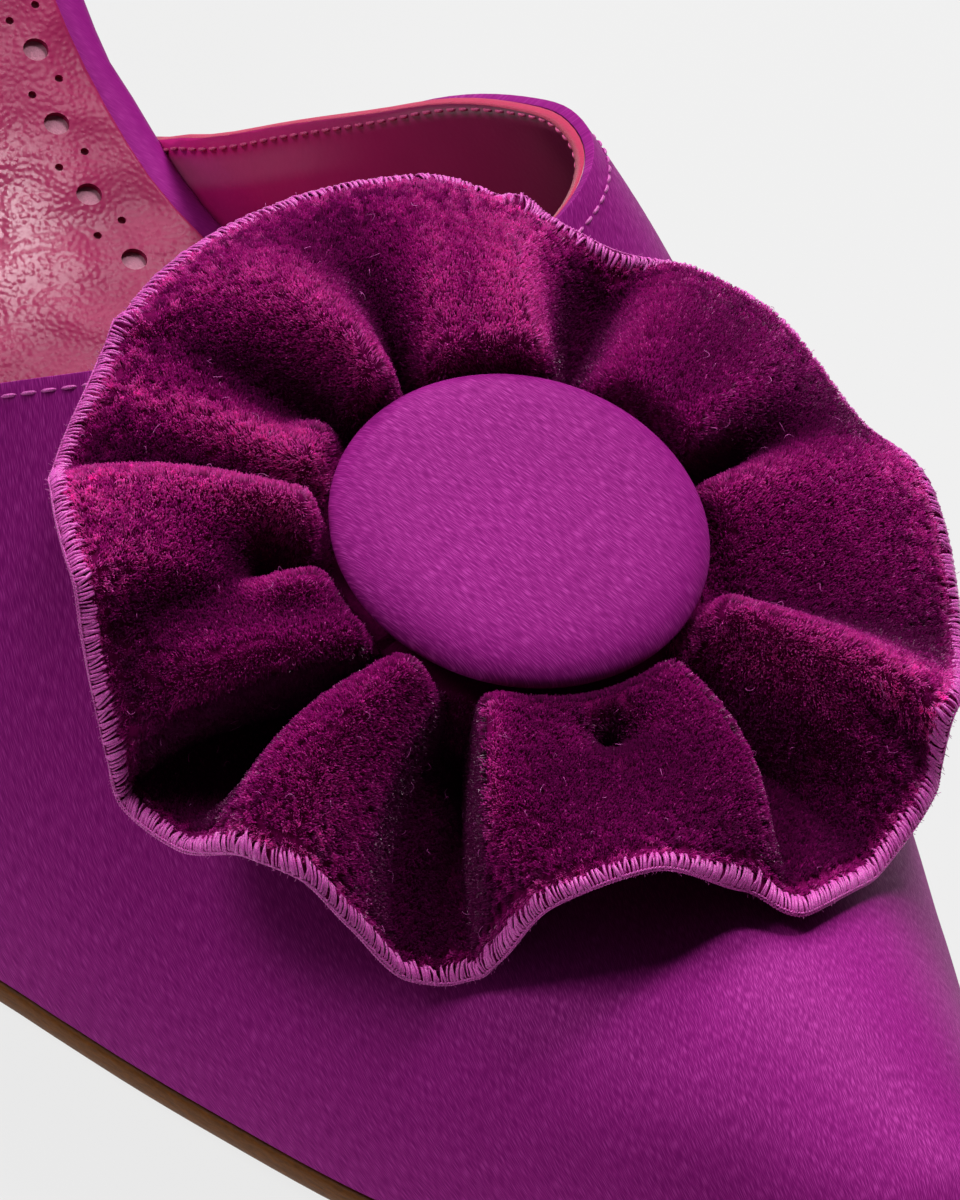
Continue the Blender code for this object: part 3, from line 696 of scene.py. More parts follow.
def satin_material(settings, name, warp_turn, contrast=0.85):
    """Duchesse satin: long warp floats lie side by side, so fine slanting strokes break a coloured gloss, with
    painted glints on the tops of the floats.
    """
    satin = settings.satin
    made, tree, shader = new_material(
        name, Metallic=0.06, Specular_IOR_Level=0.03,
        Sheen_Weight=0.03, Sheen_Roughness=0.35, Sheen_Tint=tuple(satin.gloss),
    )
    cloth = add_node(tree, "ShaderNodeUVMap", uv_map="cloth")
    # The floats are drawn about twice as coarse as silk's, so that they show
    floats = add_node(tree, "ShaderNodeMapping", {
        "Vector": cloth.outputs["UV"],
        "Rotation": (0.0, 0.0, math.radians(warp_turn)),
        "Scale": (satin.float_length / MM, satin.thread / MM, 1.0),
    }, vector_type="TEXTURE")
    weave = add_node(tree, "ShaderNodeTexNoise", {
        "Vector": floats.outputs["Vector"], "Scale": 1.0, "Detail": 0.0,
    }, noise_dimensions="2D")
    place = add_node(tree, "ShaderNodeTexCoord")
    cloud = add_node(tree, "ShaderNodeTexNoise", {
        "Vector": place.outputs["Object"], "Scale": 1.0 / (14.0 * MM), "Detail": 3.0,
    })
    stroke = add_node(tree, "ShaderNodeMapRange", {
        "Value": weave.outputs["Fac"], "From Min": 0.32, "From Max": 0.64,
        "To Min": 0.6 - 0.6 * contrast, "To Max": 0.6 + 0.4 * contrast,
    })
    tone = add_node(tree, "ShaderNodeMix", {
        0: stroke.outputs["Result"], 6: tuple(satin.shade), 7: tuple(satin.body),
    }, data_type="RGBA")
    # Painted glints: the tops of the floats are painted in the gloss tint
    painted_glint = add_node(tree, "ShaderNodeMapRange", {
        "Value": weave.outputs["Fac"], "From Min": 0.56, "From Max": 0.8, "To Max": 0.3 * contrast,
    })
    painted_highlight_colour = add_node(tree, "ShaderNodeMix", {
        0: painted_glint.outputs["Result"], 6: tone.outputs[2], 7: tuple(satin.gloss),
    }, data_type="RGBA")
    worn = add_node(tree, "ShaderNodeMapRange", {
        "Value": cloud.outputs["Fac"], "From Min": 0.3, "From Max": 0.7, "To Min": 0.93, "To Max": 1.05,
    })
    shown = add_node(tree, "ShaderNodeMix", {
        0: 1.0, 6: painted_highlight_colour.outputs[2], 7: worn.outputs["Result"],
    }, data_type="RGBA", blend_type="MULTIPLY")
    gloss = add_node(tree, "ShaderNodeMapRange", {
        "Value": weave.outputs["Fac"], "From Min": 0.3, "From Max": 0.7, "To Min": 0.6, "To Max": 0.42,
    })
    bump = add_node(tree, "ShaderNodeBump", {
        "Height": weave.outputs["Fac"], "Strength": 0.4 * contrast, "Distance": 0.03 * MM,
    })
    wire(
        tree, shader,
        Base_Color=shown.outputs[2], Roughness=gloss.outputs["Result"], Normal=bump.outputs["Normal"],
    )
    return made


def lining_material(settings):
    """Kid lining: fine grain under a thin glaze, painted lighter towards the ends of the wings, with a painted
    pale pink reflection in a band below the topline there.
    """
    made, tree, shader = new_material(
        "kid_leather_lining", Coat_Weight=0.6, Coat_Roughness=0.2, Specular_IOR_Level=0.5
    )
    tint = tuple(settings.leather.lining)
    roughness = 0.42
    place = add_node(tree, "ShaderNodeTexCoord")
    # The map's first way is millimetres along the shoe, its second millimetres in from the topline
    cloth = add_node(tree, "ShaderNodeUVMap", uv_map="cloth")
    along = add_node(tree, "ShaderNodeSeparateXYZ", {"Vector": cloth.outputs["UV"]})
    # Painted light: the lining is lighter towards the back end of the wing and darker towards the toe
    painted_light_falloff = add_node(tree, "ShaderNodeMapRange", {
        "Value": along.outputs["X"], "From Min": -46.0, "From Max": -8.0, "To Min": 1.7, "To Max": 0.25,
    })
    # Painted reflection: a pale pink band about 1.5 to 4.6 mm in from the topline, towards the wing's end
    below = add_node(tree, "ShaderNodeMapRange", {
        "Value": along.outputs["Y"], "From Min": 1.5, "From Max": 2.6,
    }, interpolation_type="SMOOTHSTEP")
    above = add_node(tree, "ShaderNodeMapRange", {
        "Value": along.outputs["Y"], "From Min": 4.6, "From Max": 3.2,
    }, interpolation_type="SMOOTHSTEP")
    back = add_node(tree, "ShaderNodeMapRange", {
        "Value": along.outputs["X"], "From Min": -27.0, "From Max": -40.0, "To Max": 0.3,
    }, interpolation_type="SMOOTHSTEP")
    strip = add_node(tree, "ShaderNodeMath", {0: below.outputs["Result"], 1: above.outputs["Result"]},
                     operation="MULTIPLY")
    sheen_mask = add_node(tree, "ShaderNodeMath", {0: strip.outputs["Value"], 1: back.outputs["Result"]},
                      operation="MULTIPLY")
    cells = add_node(tree, "ShaderNodeTexVoronoi", {
        "Vector": place.outputs["Object"], "Scale": 1.0 / (0.4 * MM), "Randomness": 1.0,
    }, feature="SMOOTH_F1")
    cloud = add_node(tree, "ShaderNodeTexNoise", {
        "Vector": place.outputs["Object"], "Scale": 1.0 / (9.0 * MM), "Detail": 4.0, "Roughness": 0.6,
    })
    tone = add_node(tree, "ShaderNodeMix", {
        0: cloud.outputs["Fac"], 6: scaled(tint, 0.72), 7: scaled(tint, 1.22),
    }, data_type="RGBA")
    uneven = add_node(tree, "ShaderNodeMapRange", {
        "Value": cloud.outputs["Fac"], "To Min": roughness - 0.08, "To Max": roughness + 0.08,
    })
    bump = add_node(tree, "ShaderNodeBump", {
        "Height": cells.outputs["Distance"], "Strength": 0.15, "Distance": 0.12 * MM,
    })
    # The tone is multiplied by the painted light
    worn = add_node(tree, "ShaderNodeMix", {
        0: 1.0, 6: tone.outputs[2], 7: painted_light_falloff.outputs["Result"],
    }, data_type="RGBA", blend_type="MULTIPLY")
    # The painted reflection is mixed in over the band
    shown = add_node(tree, "ShaderNodeMix", {
        0: sheen_mask.outputs["Value"], 6: worn.outputs[2], 7: hex_colour("#DC8CB4"),
    }, data_type="RGBA")
    wire(
        tree, shader,
        Base_Color=shown.outputs[2], Roughness=uneven.outputs["Result"], Normal=bump.outputs["Normal"],
    )
    return made


def sock_material(settings):
    """Glazed kid leather: broad soft waves and fine round grain turn a bright glaze into patches of light."""
    made, tree, shader = new_material(
        "glazed_kid_sock", Coat_Roughness=0.15, Specular_IOR_Level=0.08
    )
    tint = tuple(settings.leather.sock)
    place = add_node(tree, "ShaderNodeTexCoord")
    creases = add_node(tree, "ShaderNodeMapping", {
        "Vector": place.outputs["Object"],
        "Rotation": (0.0, 0.0, math.radians(12.0)),
        "Scale": (0.4 * MM, 0.55 * MM, 0.45 * MM),
    }, vector_type="TEXTURE")
    crinkle = add_node(tree, "ShaderNodeTexNoise", {
        "Vector": creases.outputs["Vector"], "Scale": 1.0, "Detail": 1.0, "Roughness": 0.5,
    })
    grain = add_node(tree, "ShaderNodeTexVoronoi", {
        "Vector": place.outputs["Object"], "Scale": 1.0 / (0.42 * MM),
    }, feature="SMOOTH_F1")
    cloud = add_node(tree, "ShaderNodeTexNoise", {
        "Vector": place.outputs["Object"], "Scale": 1.0 / (8.0 * MM), "Detail": 1.0,
    })
    # The foot has polished the glaze most at the waist of the sock
    away = add_node(tree, "ShaderNodeVectorMath", {
        0: place.outputs["Object"], 1: (-48.5 * MM, -2.0 * MM, 16.0 * MM),
    }, operation="DISTANCE")
    sheen_mask = add_node(tree, "ShaderNodeMapRange", {
        "Value": away.outputs["Value"], "From Min": 2.0 * MM, "From Max": 13.0 * MM,
        "To Min": 0.3, "To Max": 0.025,
    }, interpolation_type="SMOOTHSTEP")
    # Broad waves in the skin turn the glaze in and out of the light
    wave = add_node(tree, "ShaderNodeBump", {
        "Height": cloud.outputs["Fac"], "Strength": 1.0, "Distance": 1.2 * MM,
    })
    tone = add_node(tree, "ShaderNodeMix", {
        0: cloud.outputs["Fac"], 6: scaled(tint, 0.7), 7: scaled(tint, 1.25),
    }, data_type="RGBA")
    height = add_node(tree, "ShaderNodeMath", {
        0: crinkle.outputs["Fac"], 1: -0.05, 2: grain.outputs["Distance"],
    }, operation="MULTIPLY_ADD")
    bump = add_node(tree, "ShaderNodeBump", {
        "Height": height.outputs["Value"], "Strength": 0.7, "Distance": -0.08 * MM,
        "Normal": wave.outputs["Normal"],
    })
    uneven = add_node(tree, "ShaderNodeMapRange", {
        "Value": crinkle.outputs["Fac"], "To Min": 0.5, "To Max": 0.3,
    })
    wire(
        tree, shader,
        Base_Color=tone.outputs[2], Roughness=uneven.outputs["Result"],
        Coat_Weight=sheen_mask.outputs["Result"], Normal=bump.outputs["Normal"],
        Coat_Normal=bump.outputs["Normal"],
    )
    return made


def fuzzy_material(name, tint, fine):
    """Raw cut edge or foam: short fibres scatter the light, so it is matt and speckled."""
    made, tree, shader = new_material(name, Roughness=0.9, Specular_IOR_Level=0.2, Sheen_Weight=0.3)
    place = add_node(tree, "ShaderNodeTexCoord")
    speck = add_node(tree, "ShaderNodeTexNoise", {
        "Vector": place.outputs["Object"], "Scale": 1.0 / (fine * MM), "Detail": 3.0, "Roughness": 0.7,
    })
    grained(tree, shader, speck.outputs["Fac"], scaled(tint, 0.6), scaled(tint, 1.4), 0.6, 0.1)
    return made


def thread_material(name, tint, strand):
    """Silk sewing thread: fine filaments along the thread give a bright, striped gloss."""
    made, tree, shader = new_material(
        name, Roughness=0.36, Specular_IOR_Level=0.3, Sheen_Weight=0.15, Sheen_Roughness=0.3
    )
    place = add_node(tree, "ShaderNodeTexCoord")
    strands = add_node(tree, "ShaderNodeTexNoise", {
        "Vector": place.outputs["Object"], "Scale": 1.0 / (strand * MM), "Detail": 2.0, "Roughness": 0.6,
    })
    tone = add_node(tree, "ShaderNodeMapRange", {
        "Value": strands.outputs["Fac"], "From Min": 0.35, "From Max": 0.65,
    })
    shown = add_node(tree, "ShaderNodeMix", {
        0: tone.outputs["Result"], 6: scaled(tint, 0.65), 7: scaled(tint, 1.3),
    }, data_type="RGBA")
    bump = add_node(tree, "ShaderNodeBump", {
        "Height": strands.outputs["Fac"], "Strength": 0.5, "Distance": 0.04 * MM,
    })
    wire(tree, shader, Base_Color=shown.outputs[2], Normal=bump.outputs["Normal"])
    return made


def pile_material(settings):
    """Silk velvet pile: colour runs from painted dark shade at the root to the tip colour, times the painted
    light and shade of the tone, with a painted pink sheen where that tone is brightest.
    """
    made, tree, shader = new_material("silk_velvet_pile", Roughness=0.4, Specular_IOR_Level=0.7)
    velvet = settings.velvet
    tip = add_node(tree, "ShaderNodeAttribute", attribute_name="tip")
    tone = add_node(tree, "ShaderNodeAttribute", attribute_name="tone")
    # Painted shade: the colour darkens from the tip down to the root
    shown = add_node(tree, "ShaderNodeMix", {
        0: tip.outputs["Fac"], 6: tuple(velvet.root), 7: tuple(velvet.tip),
    }, data_type="RGBA")
    toned = add_node(tree, "ShaderNodeMix", {
        0: 1.0, 6: shown.outputs[2], 7: tone.outputs["Color"],
    }, data_type="RGBA", blend_type="MULTIPLY")
    # Painted sheen: where the painted tone is brightest, on sharp folds, the colour is mixed towards pale pink
    edge = add_node(tree, "ShaderNodeMapRange", {
        "Value": tone.outputs["Fac"], "From Min": 0.9, "From Max": 1.5, "To Max": 0.55,
    })
    painted_highlight_colour = add_node(tree, "ShaderNodeMix", {
        0: edge.outputs["Result"], 6: toned.outputs[2], 7: hex_colour("#EC7CCC"),
    }, data_type="RGBA")
    wire(tree, shader, Base_Color=painted_highlight_colour.outputs[2])
    # Silk fibres let light through, so that pile lit from behind glows
    through = add_node(tree, "ShaderNodeBsdfTranslucent", {"Color": painted_highlight_colour.outputs[2]})
    both = add_node(tree, "ShaderNodeMixShader", {
        0: 0.4, 1: shader.outputs["BSDF"], 2: through.outputs["BSDF"],
    })
    tree.links.new(both.outputs["Shader"], tree.nodes["Material Output"].inputs["Surface"])
    return made


def ground_material(settings):
    """Ground cloth of the velvet: a close dark weave that shows from below and between the tufts."""
    made, tree, shader = new_material("velvet_ground_cloth", Roughness=0.8, Specular_IOR_Level=0.04)
    tint = tuple(settings.velvet.ground)
    cloth = add_node(tree, "ShaderNodeUVMap", uv_map="cloth")
    weave = add_node(tree, "ShaderNodeMapping", {
        "Vector": cloth.outputs["UV"], "Scale": (0.33, 0.33, 1.0),
    }, vector_type="TEXTURE")
    check = add_node(tree, "ShaderNodeTexNoise", {
        "Vector": weave.outputs["Vector"], "Scale": 1.0, "Detail": 2.0,
    }, noise_dimensions="2D")
    grained(tree, shader, check.outputs["Fac"], scaled(tint, 0.6), scaled(tint, 2.0), 0.5, 0.08)
    return made


def sole_material(settings):
    """Waxed sole leather: pressed layers run along the edge."""
    made, tree, shader = new_material("waxed_sole_leather", Roughness=0.48, Specular_IOR_Level=0.2)
    tint = tuple(settings.leather.sole)
    place = add_node(tree, "ShaderNodeTexCoord")
    layers = add_node(tree, "ShaderNodeMapping", {
        "Vector": place.outputs["Object"], "Scale": (1.0 * MM, 1.0 * MM, 0.25 * MM),
    }, vector_type="TEXTURE")
    streak = add_node(tree, "ShaderNodeTexNoise", {
        "Vector": layers.outputs["Vector"], "Scale": 1.0, "Detail": 4.0, "Roughness": 0.65,
    })
    grained(tree, shader, streak.outputs["Fac"], scaled(tint, 0.2), scaled(tint, 1.9), 0.4, 0.1)
    return made


def rubber_material():
    """Moulded rubber: near black, matt, with a fine sandy skin."""
    made, tree, shader = new_material("moulded_rubber_tip", Roughness=0.62, Specular_IOR_Level=0.4)
    place = add_node(tree, "ShaderNodeTexCoord")
    skin = add_node(tree, "ShaderNodeTexNoise", {
        "Vector": place.outputs["Object"], "Scale": 1.0 / (0.35 * MM), "Detail": 3.0,
    })
    grained(tree, shader, skin.outputs["Fac"], hex_colour("#141114"), hex_colour("#2B262B"), 0.3, 0.08)
    return made


def sheet_from(points, cloth=None):
    """A grid of faces laid over an array of points, with a map of the cloth in millimetres if given."""
    along, across = points.shape[0] - 1, points.shape[1] - 1
    shape = bmesh.new()
    layer = shape.loops.layers.uv.new("cloth")
    bmesh.ops.create_grid(shape, x_segments=along, y_segments=across, size=0.5)
    spots = []
    for vert in shape.verts:
        i, j = round((vert.co.x + 0.5) * along), round((vert.co.y + 0.5) * across)
        spots.append((i, j))
        vert.co = points[i, j]
    shape.verts.index_update()
    if cloth is not None:
        for face in shape.faces:
            for loop in face.loops:
                loop[layer].uv = cloth[spots[loop.vert.index]]
    return shape


def face_away(shape, middle):
    """Turn all faces of an open sheet so that they look away from a point."""
    shape.normal_update()
    middle = Vector(middle)
    out = sum(face.normal.dot(face.calc_center_median() - middle) * face.calc_area() for face in shape.faces)
    if out < 0.0:
        bmesh.ops.reverse_faces(shape, faces=shape.faces)


def cloth_lengths(points):
    """Distances over a grid of points, measured along and across it, as a map of the cloth."""
    along = np.linalg.norm(np.diff(points, axis=0), axis=-1)
    across = np.linalg.norm(np.diff(points, axis=1), axis=-1)
    u = np.concatenate([np.zeros((1, points.shape[1])), np.cumsum(along, axis=0)])
    v = np.concatenate([np.zeros((points.shape[0], 1)), np.cumsum(across, axis=1)], axis=1)
    return np.stack([u, v - v[:, [points.shape[1] // 2]]], axis=-1)


def linked(name, data):
    """An object that shows some data, in the scene."""
    made = bpy.data.objects.new(name, data)
    bpy.context.scene.collection.objects.link(made)
    return made


def mesh_from(name, shape):
    """A mesh from a bmesh, which is freed."""
    mesh = bpy.data.meshes.new(name)
    shape.to_mesh(mesh)
    shape.free()
    return mesh


def place_piece(mesh, name, materials, nodes=()):
    """Link a mesh in metres as a piece that rides on the shoe and stands for its solids."""
    for material in materials:
        mesh.materials.append(material)
    made = linked(name, mesh)
    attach(made, "root")
    if nodes:
        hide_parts(*nodes)
    return made


def piece_from(name, shape, materials, nodes=(), closed=True, sharp=None):
    """Turn a bmesh in millimetres into a smooth shaded piece."""
    bmesh.ops.remove_doubles(shape, verts=shape.verts, dist=0.001)
    bmesh.ops.dissolve_degenerate(shape, edges=shape.edges, dist=0.0005)
    if closed:
        bmesh.ops.recalc_face_normals(shape, faces=shape.faces)
    bmesh.ops.scale(shape, vec=(MM, MM, MM), verts=shape.verts)
    mesh = mesh_from(name, shape)
    mesh.shade_smooth()
    if sharp is not None:
        mesh.set_sharp_from_angle(angle=math.radians(sharp))
    return place_piece(mesh, name, materials, nodes)


def solid_wall(piece, thick, rim_material=0, offset=-1.0, even=True):
    """Give a sheet its thickness."""
    wall = piece.modifiers.new("wall", "SOLIDIFY")
    wall.thickness = thick * MM
    wall.offset = offset
    wall.use_even_offset = even
    wall.material_offset_rim = rim_material


def rounded_edges(piece, width, segments):
    """Round the sharp edges of a piece."""
    bevel = piece.modifiers.new("rounded", "BEVEL")
    bevel.width = width * MM
    bevel.segments = segments
    bevel.limit_method = "ANGLE"
    bevel.angle_limit = math.radians(55.0)
    bevel.profile = 0.5
    bevel.material = -1


def joined_mesh(name, points, faces):
    """One mesh in metres from arrays of points and faces in millimetres."""
    mesh = bpy.data.meshes.new(name)
    mesh.from_pydata(points * MM, [], faces)
    mesh.update()
    return mesh


def tubes(paths, ups, wide, high, sides=6):
    """Points and faces of many threads: paths has a row of points for each, ups the ways off the cloth."""
    count, steps = paths.shape[:2]
    ahead = unit(np.gradient(paths, axis=1))
    beside = unit(np.cross(ahead, ups))
    above = np.cross(beside, ahead)
    turn = np.linspace(0.0, 2.0 * math.pi, sides, endpoint=False)
    wide = np.broadcast_to(wide, (count, steps))[..., None, None]
    high = np.broadcast_to(high, (count, steps))[..., None, None]
    ring = (
        beside[:, :, None] * np.cos(turn)[:, None] * wide / 2.0
        + above[:, :, None] * np.sin(turn)[:, None] * high / 2.0
    )
    points = (paths[:, :, None] + ring).reshape(-1, 3)
    one = np.arange(count * steps * sides).reshape(count, steps, sides)
    low, top = one[:, :-1], one[:, 1:]
    quads = np.stack([low, np.roll(low, -1, 2), np.roll(top, -1, 2), top], axis=-1).reshape(-1, 4)
    ends = [one[:, 0, ::-1].reshape(-1, sides), one[:, -1].reshape(-1, sides)]
    faces = quads.tolist() + ends[0].tolist() + ends[1].tolist()
    return points, faces


def thread_taper(steps, ends=0.35):
    """Width of a stitch along its length, drawn in at both ends."""
    t = np.linspace(-1.0, 1.0, steps)
    return ends + (1.0 - ends) * np.sqrt(np.maximum(1.0 - t ** 4, 0.0))


def evenly_along(points, pitch):
    """Positions along a dense line of points, counted in points, a pitch apart."""
    run = run_along(points)
    count = max(int(run[-1] / pitch), 2)
    return np.interp(np.arange(count + 1) * run[-1] / count, run, np.arange(len(points)))


def along_line(values, places):
    """Values of a dense line at positions counted in points."""
    k = np.clip(np.floor(places).astype(int), 0, len(values) - 2)
    t = (places - k)[..., None]
    return values[k] * (1.0 - t) + values[k + 1] * t


def stitch_row(line, ups, pitch, wide=0.3, share=0.78):
    """Points and faces of a row of plain stitches along a dense line, each sunk a little at its ends."""
    starts = evenly_along(line, pitch)
    spans = np.diff(starts)[:, None] * share
    t = np.linspace(0.0, 1.0, 6)
    places = starts[:-1, None] + spans * t
    path = along_line(line, places)
    off = unit(along_line(ups, places))
    path = path + off * (0.12 * np.sin(math.pi * t) - 0.03)[:, None]
    return tubes(path, off, wide * thread_taper(6), 0.75 * wide * thread_taper(6))


def merged(parts):
    """Several sets of points and faces as one."""
    points, faces, start = [], [], 0
    for some, made in parts:
        points.append(some)
        faces.extend([[k + start for k in face] for face in made])
        start += len(some)
    return np.concatenate(points), faces


def thread_piece(name, parts, material):
    """A piece of sewing thread from sets of points and faces."""
    mesh = joined_mesh(name, *merged(parts))
    mesh.shade_smooth()
    return place_piece(mesh, name, [material])


def upper_grid(along, across, inside, drawn):
    """Points over the upper, set in from its outside and drawn in a little from its topline."""
    u = np.linspace(0.0, 1.0, along + 1)[:, None]
    turn = np.linspace(-1.0, 1.0, across + 1)[None, :]
    outer, inner = drawn
    back = topline_station(turn) + outer + (inner - outer) * ease((turn - 0.5) / 0.4)
    x = TOE_TIP - (TOE_TIP - back) * u ** 1.35
    points = upper_points(x, turn + 0.0 * u)
    normal = grid_normals(points)
    normal[0] = (1.0, 0.0, 0.0)
    centre = np.stack([x, axis_at(x) + 0.0 * turn, seat_at(x) + 0.3 * ridge_height(x) + 0.0 * turn], axis=-1)
    flip = np.where(np.sum(normal * (points - centre), axis=-1, keepdims=True) < 0.0, -1.0, 1.0)
    return points - inside * (normal * flip)


def topline_row(distance, inside):
    """Line beside the topline at a distance from it, and its normals, on the outside or set in."""
    turn = np.linspace(-0.985, 0.985, 900)
    outer, inner = distance
    distance = outer + (inner - outer) * ease((turn + 0.2) / 0.4)
    step, ahead_step = 1e-3, 0.05
    station = topline_station(turn)
    edge_way = unit(upper_points(topline_station(turn + step), turn + step) - upper_points(station, turn))
    ahead = (upper_points(station + ahead_step, turn) - upper_points(station, turn)) / ahead_step
    square = ahead - np.sum(ahead * edge_way, axis=-1, keepdims=True) * edge_way
    x = station + distance / np.maximum(np.linalg.norm(square, axis=-1), 0.25)
    points = upper_points(x, turn)
    normal = unit(np.cross(edge_way, ahead))
    up = np.where(normal[:, [2]] < 0.0, -1.0, 1.0)
    at_side = np.abs(turn)[:, None] > 0.5
    outward = np.where(np.sign(normal[:, [1]]) * np.sign(turn)[:, None] < 0.0, -1.0, 1.0)
    normal = normal * np.where(at_side, outward, up)
    return points - inside * normal, normal


def build_upper(settings):
    """Satin vamp with a turned edge, its leather lining and the stitches beside the topline."""
    thread = settings.thread
    wall = settings.satin.wall / MM
    points = upper_grid(124, 108, 0.0, (0.0, 0.0))
    shape = sheet_from(points, cloth_lengths(points))
    face_away(shape, INSIDE_THE_TOE)
    vamp = piece_from("satin_vamp", shape, [satin_material(settings, "duchesse_satin_vamp", 16.0)],
                      ["upper"], closed=False)
    solid_wall(vamp, wall)
    rounded_edges(vamp, 0.42 * wall, 4)

    # The lining ends a little behind the tip, where the toe is stiffened
    points = upper_grid(96, 84, wall + LINING_GAP, (0.05, -0.75))[LINING_START:]
    inset = np.min(np.linalg.norm(points[:, :, None] - points[-1], axis=-1), axis=-1)
    shape = sheet_from(points, np.stack([points[..., 0], inset], axis=-1))
    face_away(shape, INSIDE_THE_TOE)
    cut = fuzzy_material("cut_lining_edge", tuple(settings.leather.cut_edge), 0.12)
    lining = [lining_material(settings), cut]
    vamp_lining = piece_from("vamp_lining", shape, lining, closed=False)
    solid_wall(vamp_lining, WALL - wall - 0.08, rim_material=1)

    line, ups = topline_row((thread.outer_set / MM, thread.inner_set / MM), 0.0)
    pitch = thread.pitch / MM
    silk = thread_material("silk_topline_thread", tuple(thread.topline), STRAND)
    thread_piece("topline_stitches", [stitch_row(line, ups, pitch, 0.26)], silk)
    line, ups = topline_row((thread.lining_set / MM, thread.lining_set / MM - 0.5), WALL)
    tone = thread_material("silk_lining_thread", hex_colour("#F0609A"), STRAND)
    thread_piece("lining_stitches", [stitch_row(line, -ups, pitch, 0.3, 0.7)], tone)


def ring_plate(rows, back, front, edge, base, count=110):
    """Closed plate whose rings follow the plan's edge, drawn in and raised row by row."""
    run = end_spaced(np.linspace(0.0, 1.0, count + 1))
    end = np.linspace(1.0, -1.0, 15)
    share = np.concatenate([run, run[::-1], 0.0 * end])
    across = np.concatenate([0.0 * run - 1.0, 0.0 * run + 1.0, end])
    rings = []
    for row in rows:
        x = back + row.inset + (front - back - 2.0 * row.inset) * share
        outer = edge(x, -1.0, row.inset)
        inner = edge(x, 1.0, row.inset)
        y = (inner + outer) / 2.0 + across * (inner - outer) / 2.0 * row.share
        rings.append(np.stack([x, y, seat_at(x) + base + row.height], axis=-1))
    points = np.array(rings)
    return sheet_from(points, points[..., :2])


def cut_away(piece, cutters):
    """Cut shapes out of a piece and keep the result as its mesh."""
    for cutter in cutters:
        cut = piece.modifiers.new("cut", "BOOLEAN")
        cut.operation = "DIFFERENCE"
        cut.solver = "EXACT"
        cut.object = cutter
    graph = bpy.context.evaluated_depsgraph_get()
    mesh = bpy.data.meshes.new_from_object(piece.evaluated_get(graph), depsgraph=graph)
    piece.modifiers.clear()
    old = piece.data
    piece.data = mesh
    bpy.data.meshes.remove(old)
    for cutter in cutters:
        bpy.data.objects.remove(cutter, do_unlink=True)


def cutter_from(name, shape):
    """A shape in millimetres that is only used to cut with."""
    bmesh.ops.scale(shape, vec=(MM, MM, MM), verts=shape.verts)
    return linked(name, mesh_from(name, shape))


def build_sole(settings):
    """Leather outsole and the satin wrapped insole board with slots for the strap's feet."""
    shape = ring_plate(OUTSOLE_RIM, HEEL_BREAST + GAP, TOE_TIP, outline, 0.0)
    piece_from("leather_outsole", shape, [sole_material(settings)], ["outsole"], sharp=50.0)

    shape = ring_plate(BOARD_RIM, HEEL_BACK, TOE_TIP - UPPER_ROOM, board_edge, GAP)
    wrap = satin_material(settings, "duchesse_satin_board", 35.0, contrast=0.25)
    board = piece_from("satin_board", shape, [wrap], ["insole_board"])
    foot = STRAP[-1]
    cutters = []
    for side, name in ((-1.0, "slot_outer"), (1.0, "slot_inner")):
        slot = bmesh.new()
        bmesh.ops.create_cube(slot, size=1.0)
        depth = STRAP_SET + STRAP_THICK / 2.0 + GAP
        bmesh.ops.scale(slot, vec=(SLOT_LONG, 2.0 * depth, SLOT_HIGH), verts=slot.verts)
        spot = (foot.x - SLOT_BACK, outline(foot.x, side), foot.z)
        bmesh.ops.translate(slot, vec=spot, verts=slot.verts)
        cutters.append(cutter_from(name, slot))
    cut_away(board, cutters)
    board.data.set_sharp_from_angle(angle=math.radians(50.0))


def punch_places(pitch):
    """Stations of the large holes, a pitch apart over the rising sole, and of the pinholes between them."""
    x = np.linspace(PUNCH_LINE[0].x, PUNCH_LINE[-1].x, 2000)
    y = outline(x, 1.0) - punch_inset(x)
    run = run_along(np.stack([x, y, seat_at(x)], axis=-1))
    first = np.interp(PUNCH_START, x, run) % pitch
    return [np.interp(np.arange(start, run[-1], pitch), run, x) for start in (first, first + pitch / 2.0)]


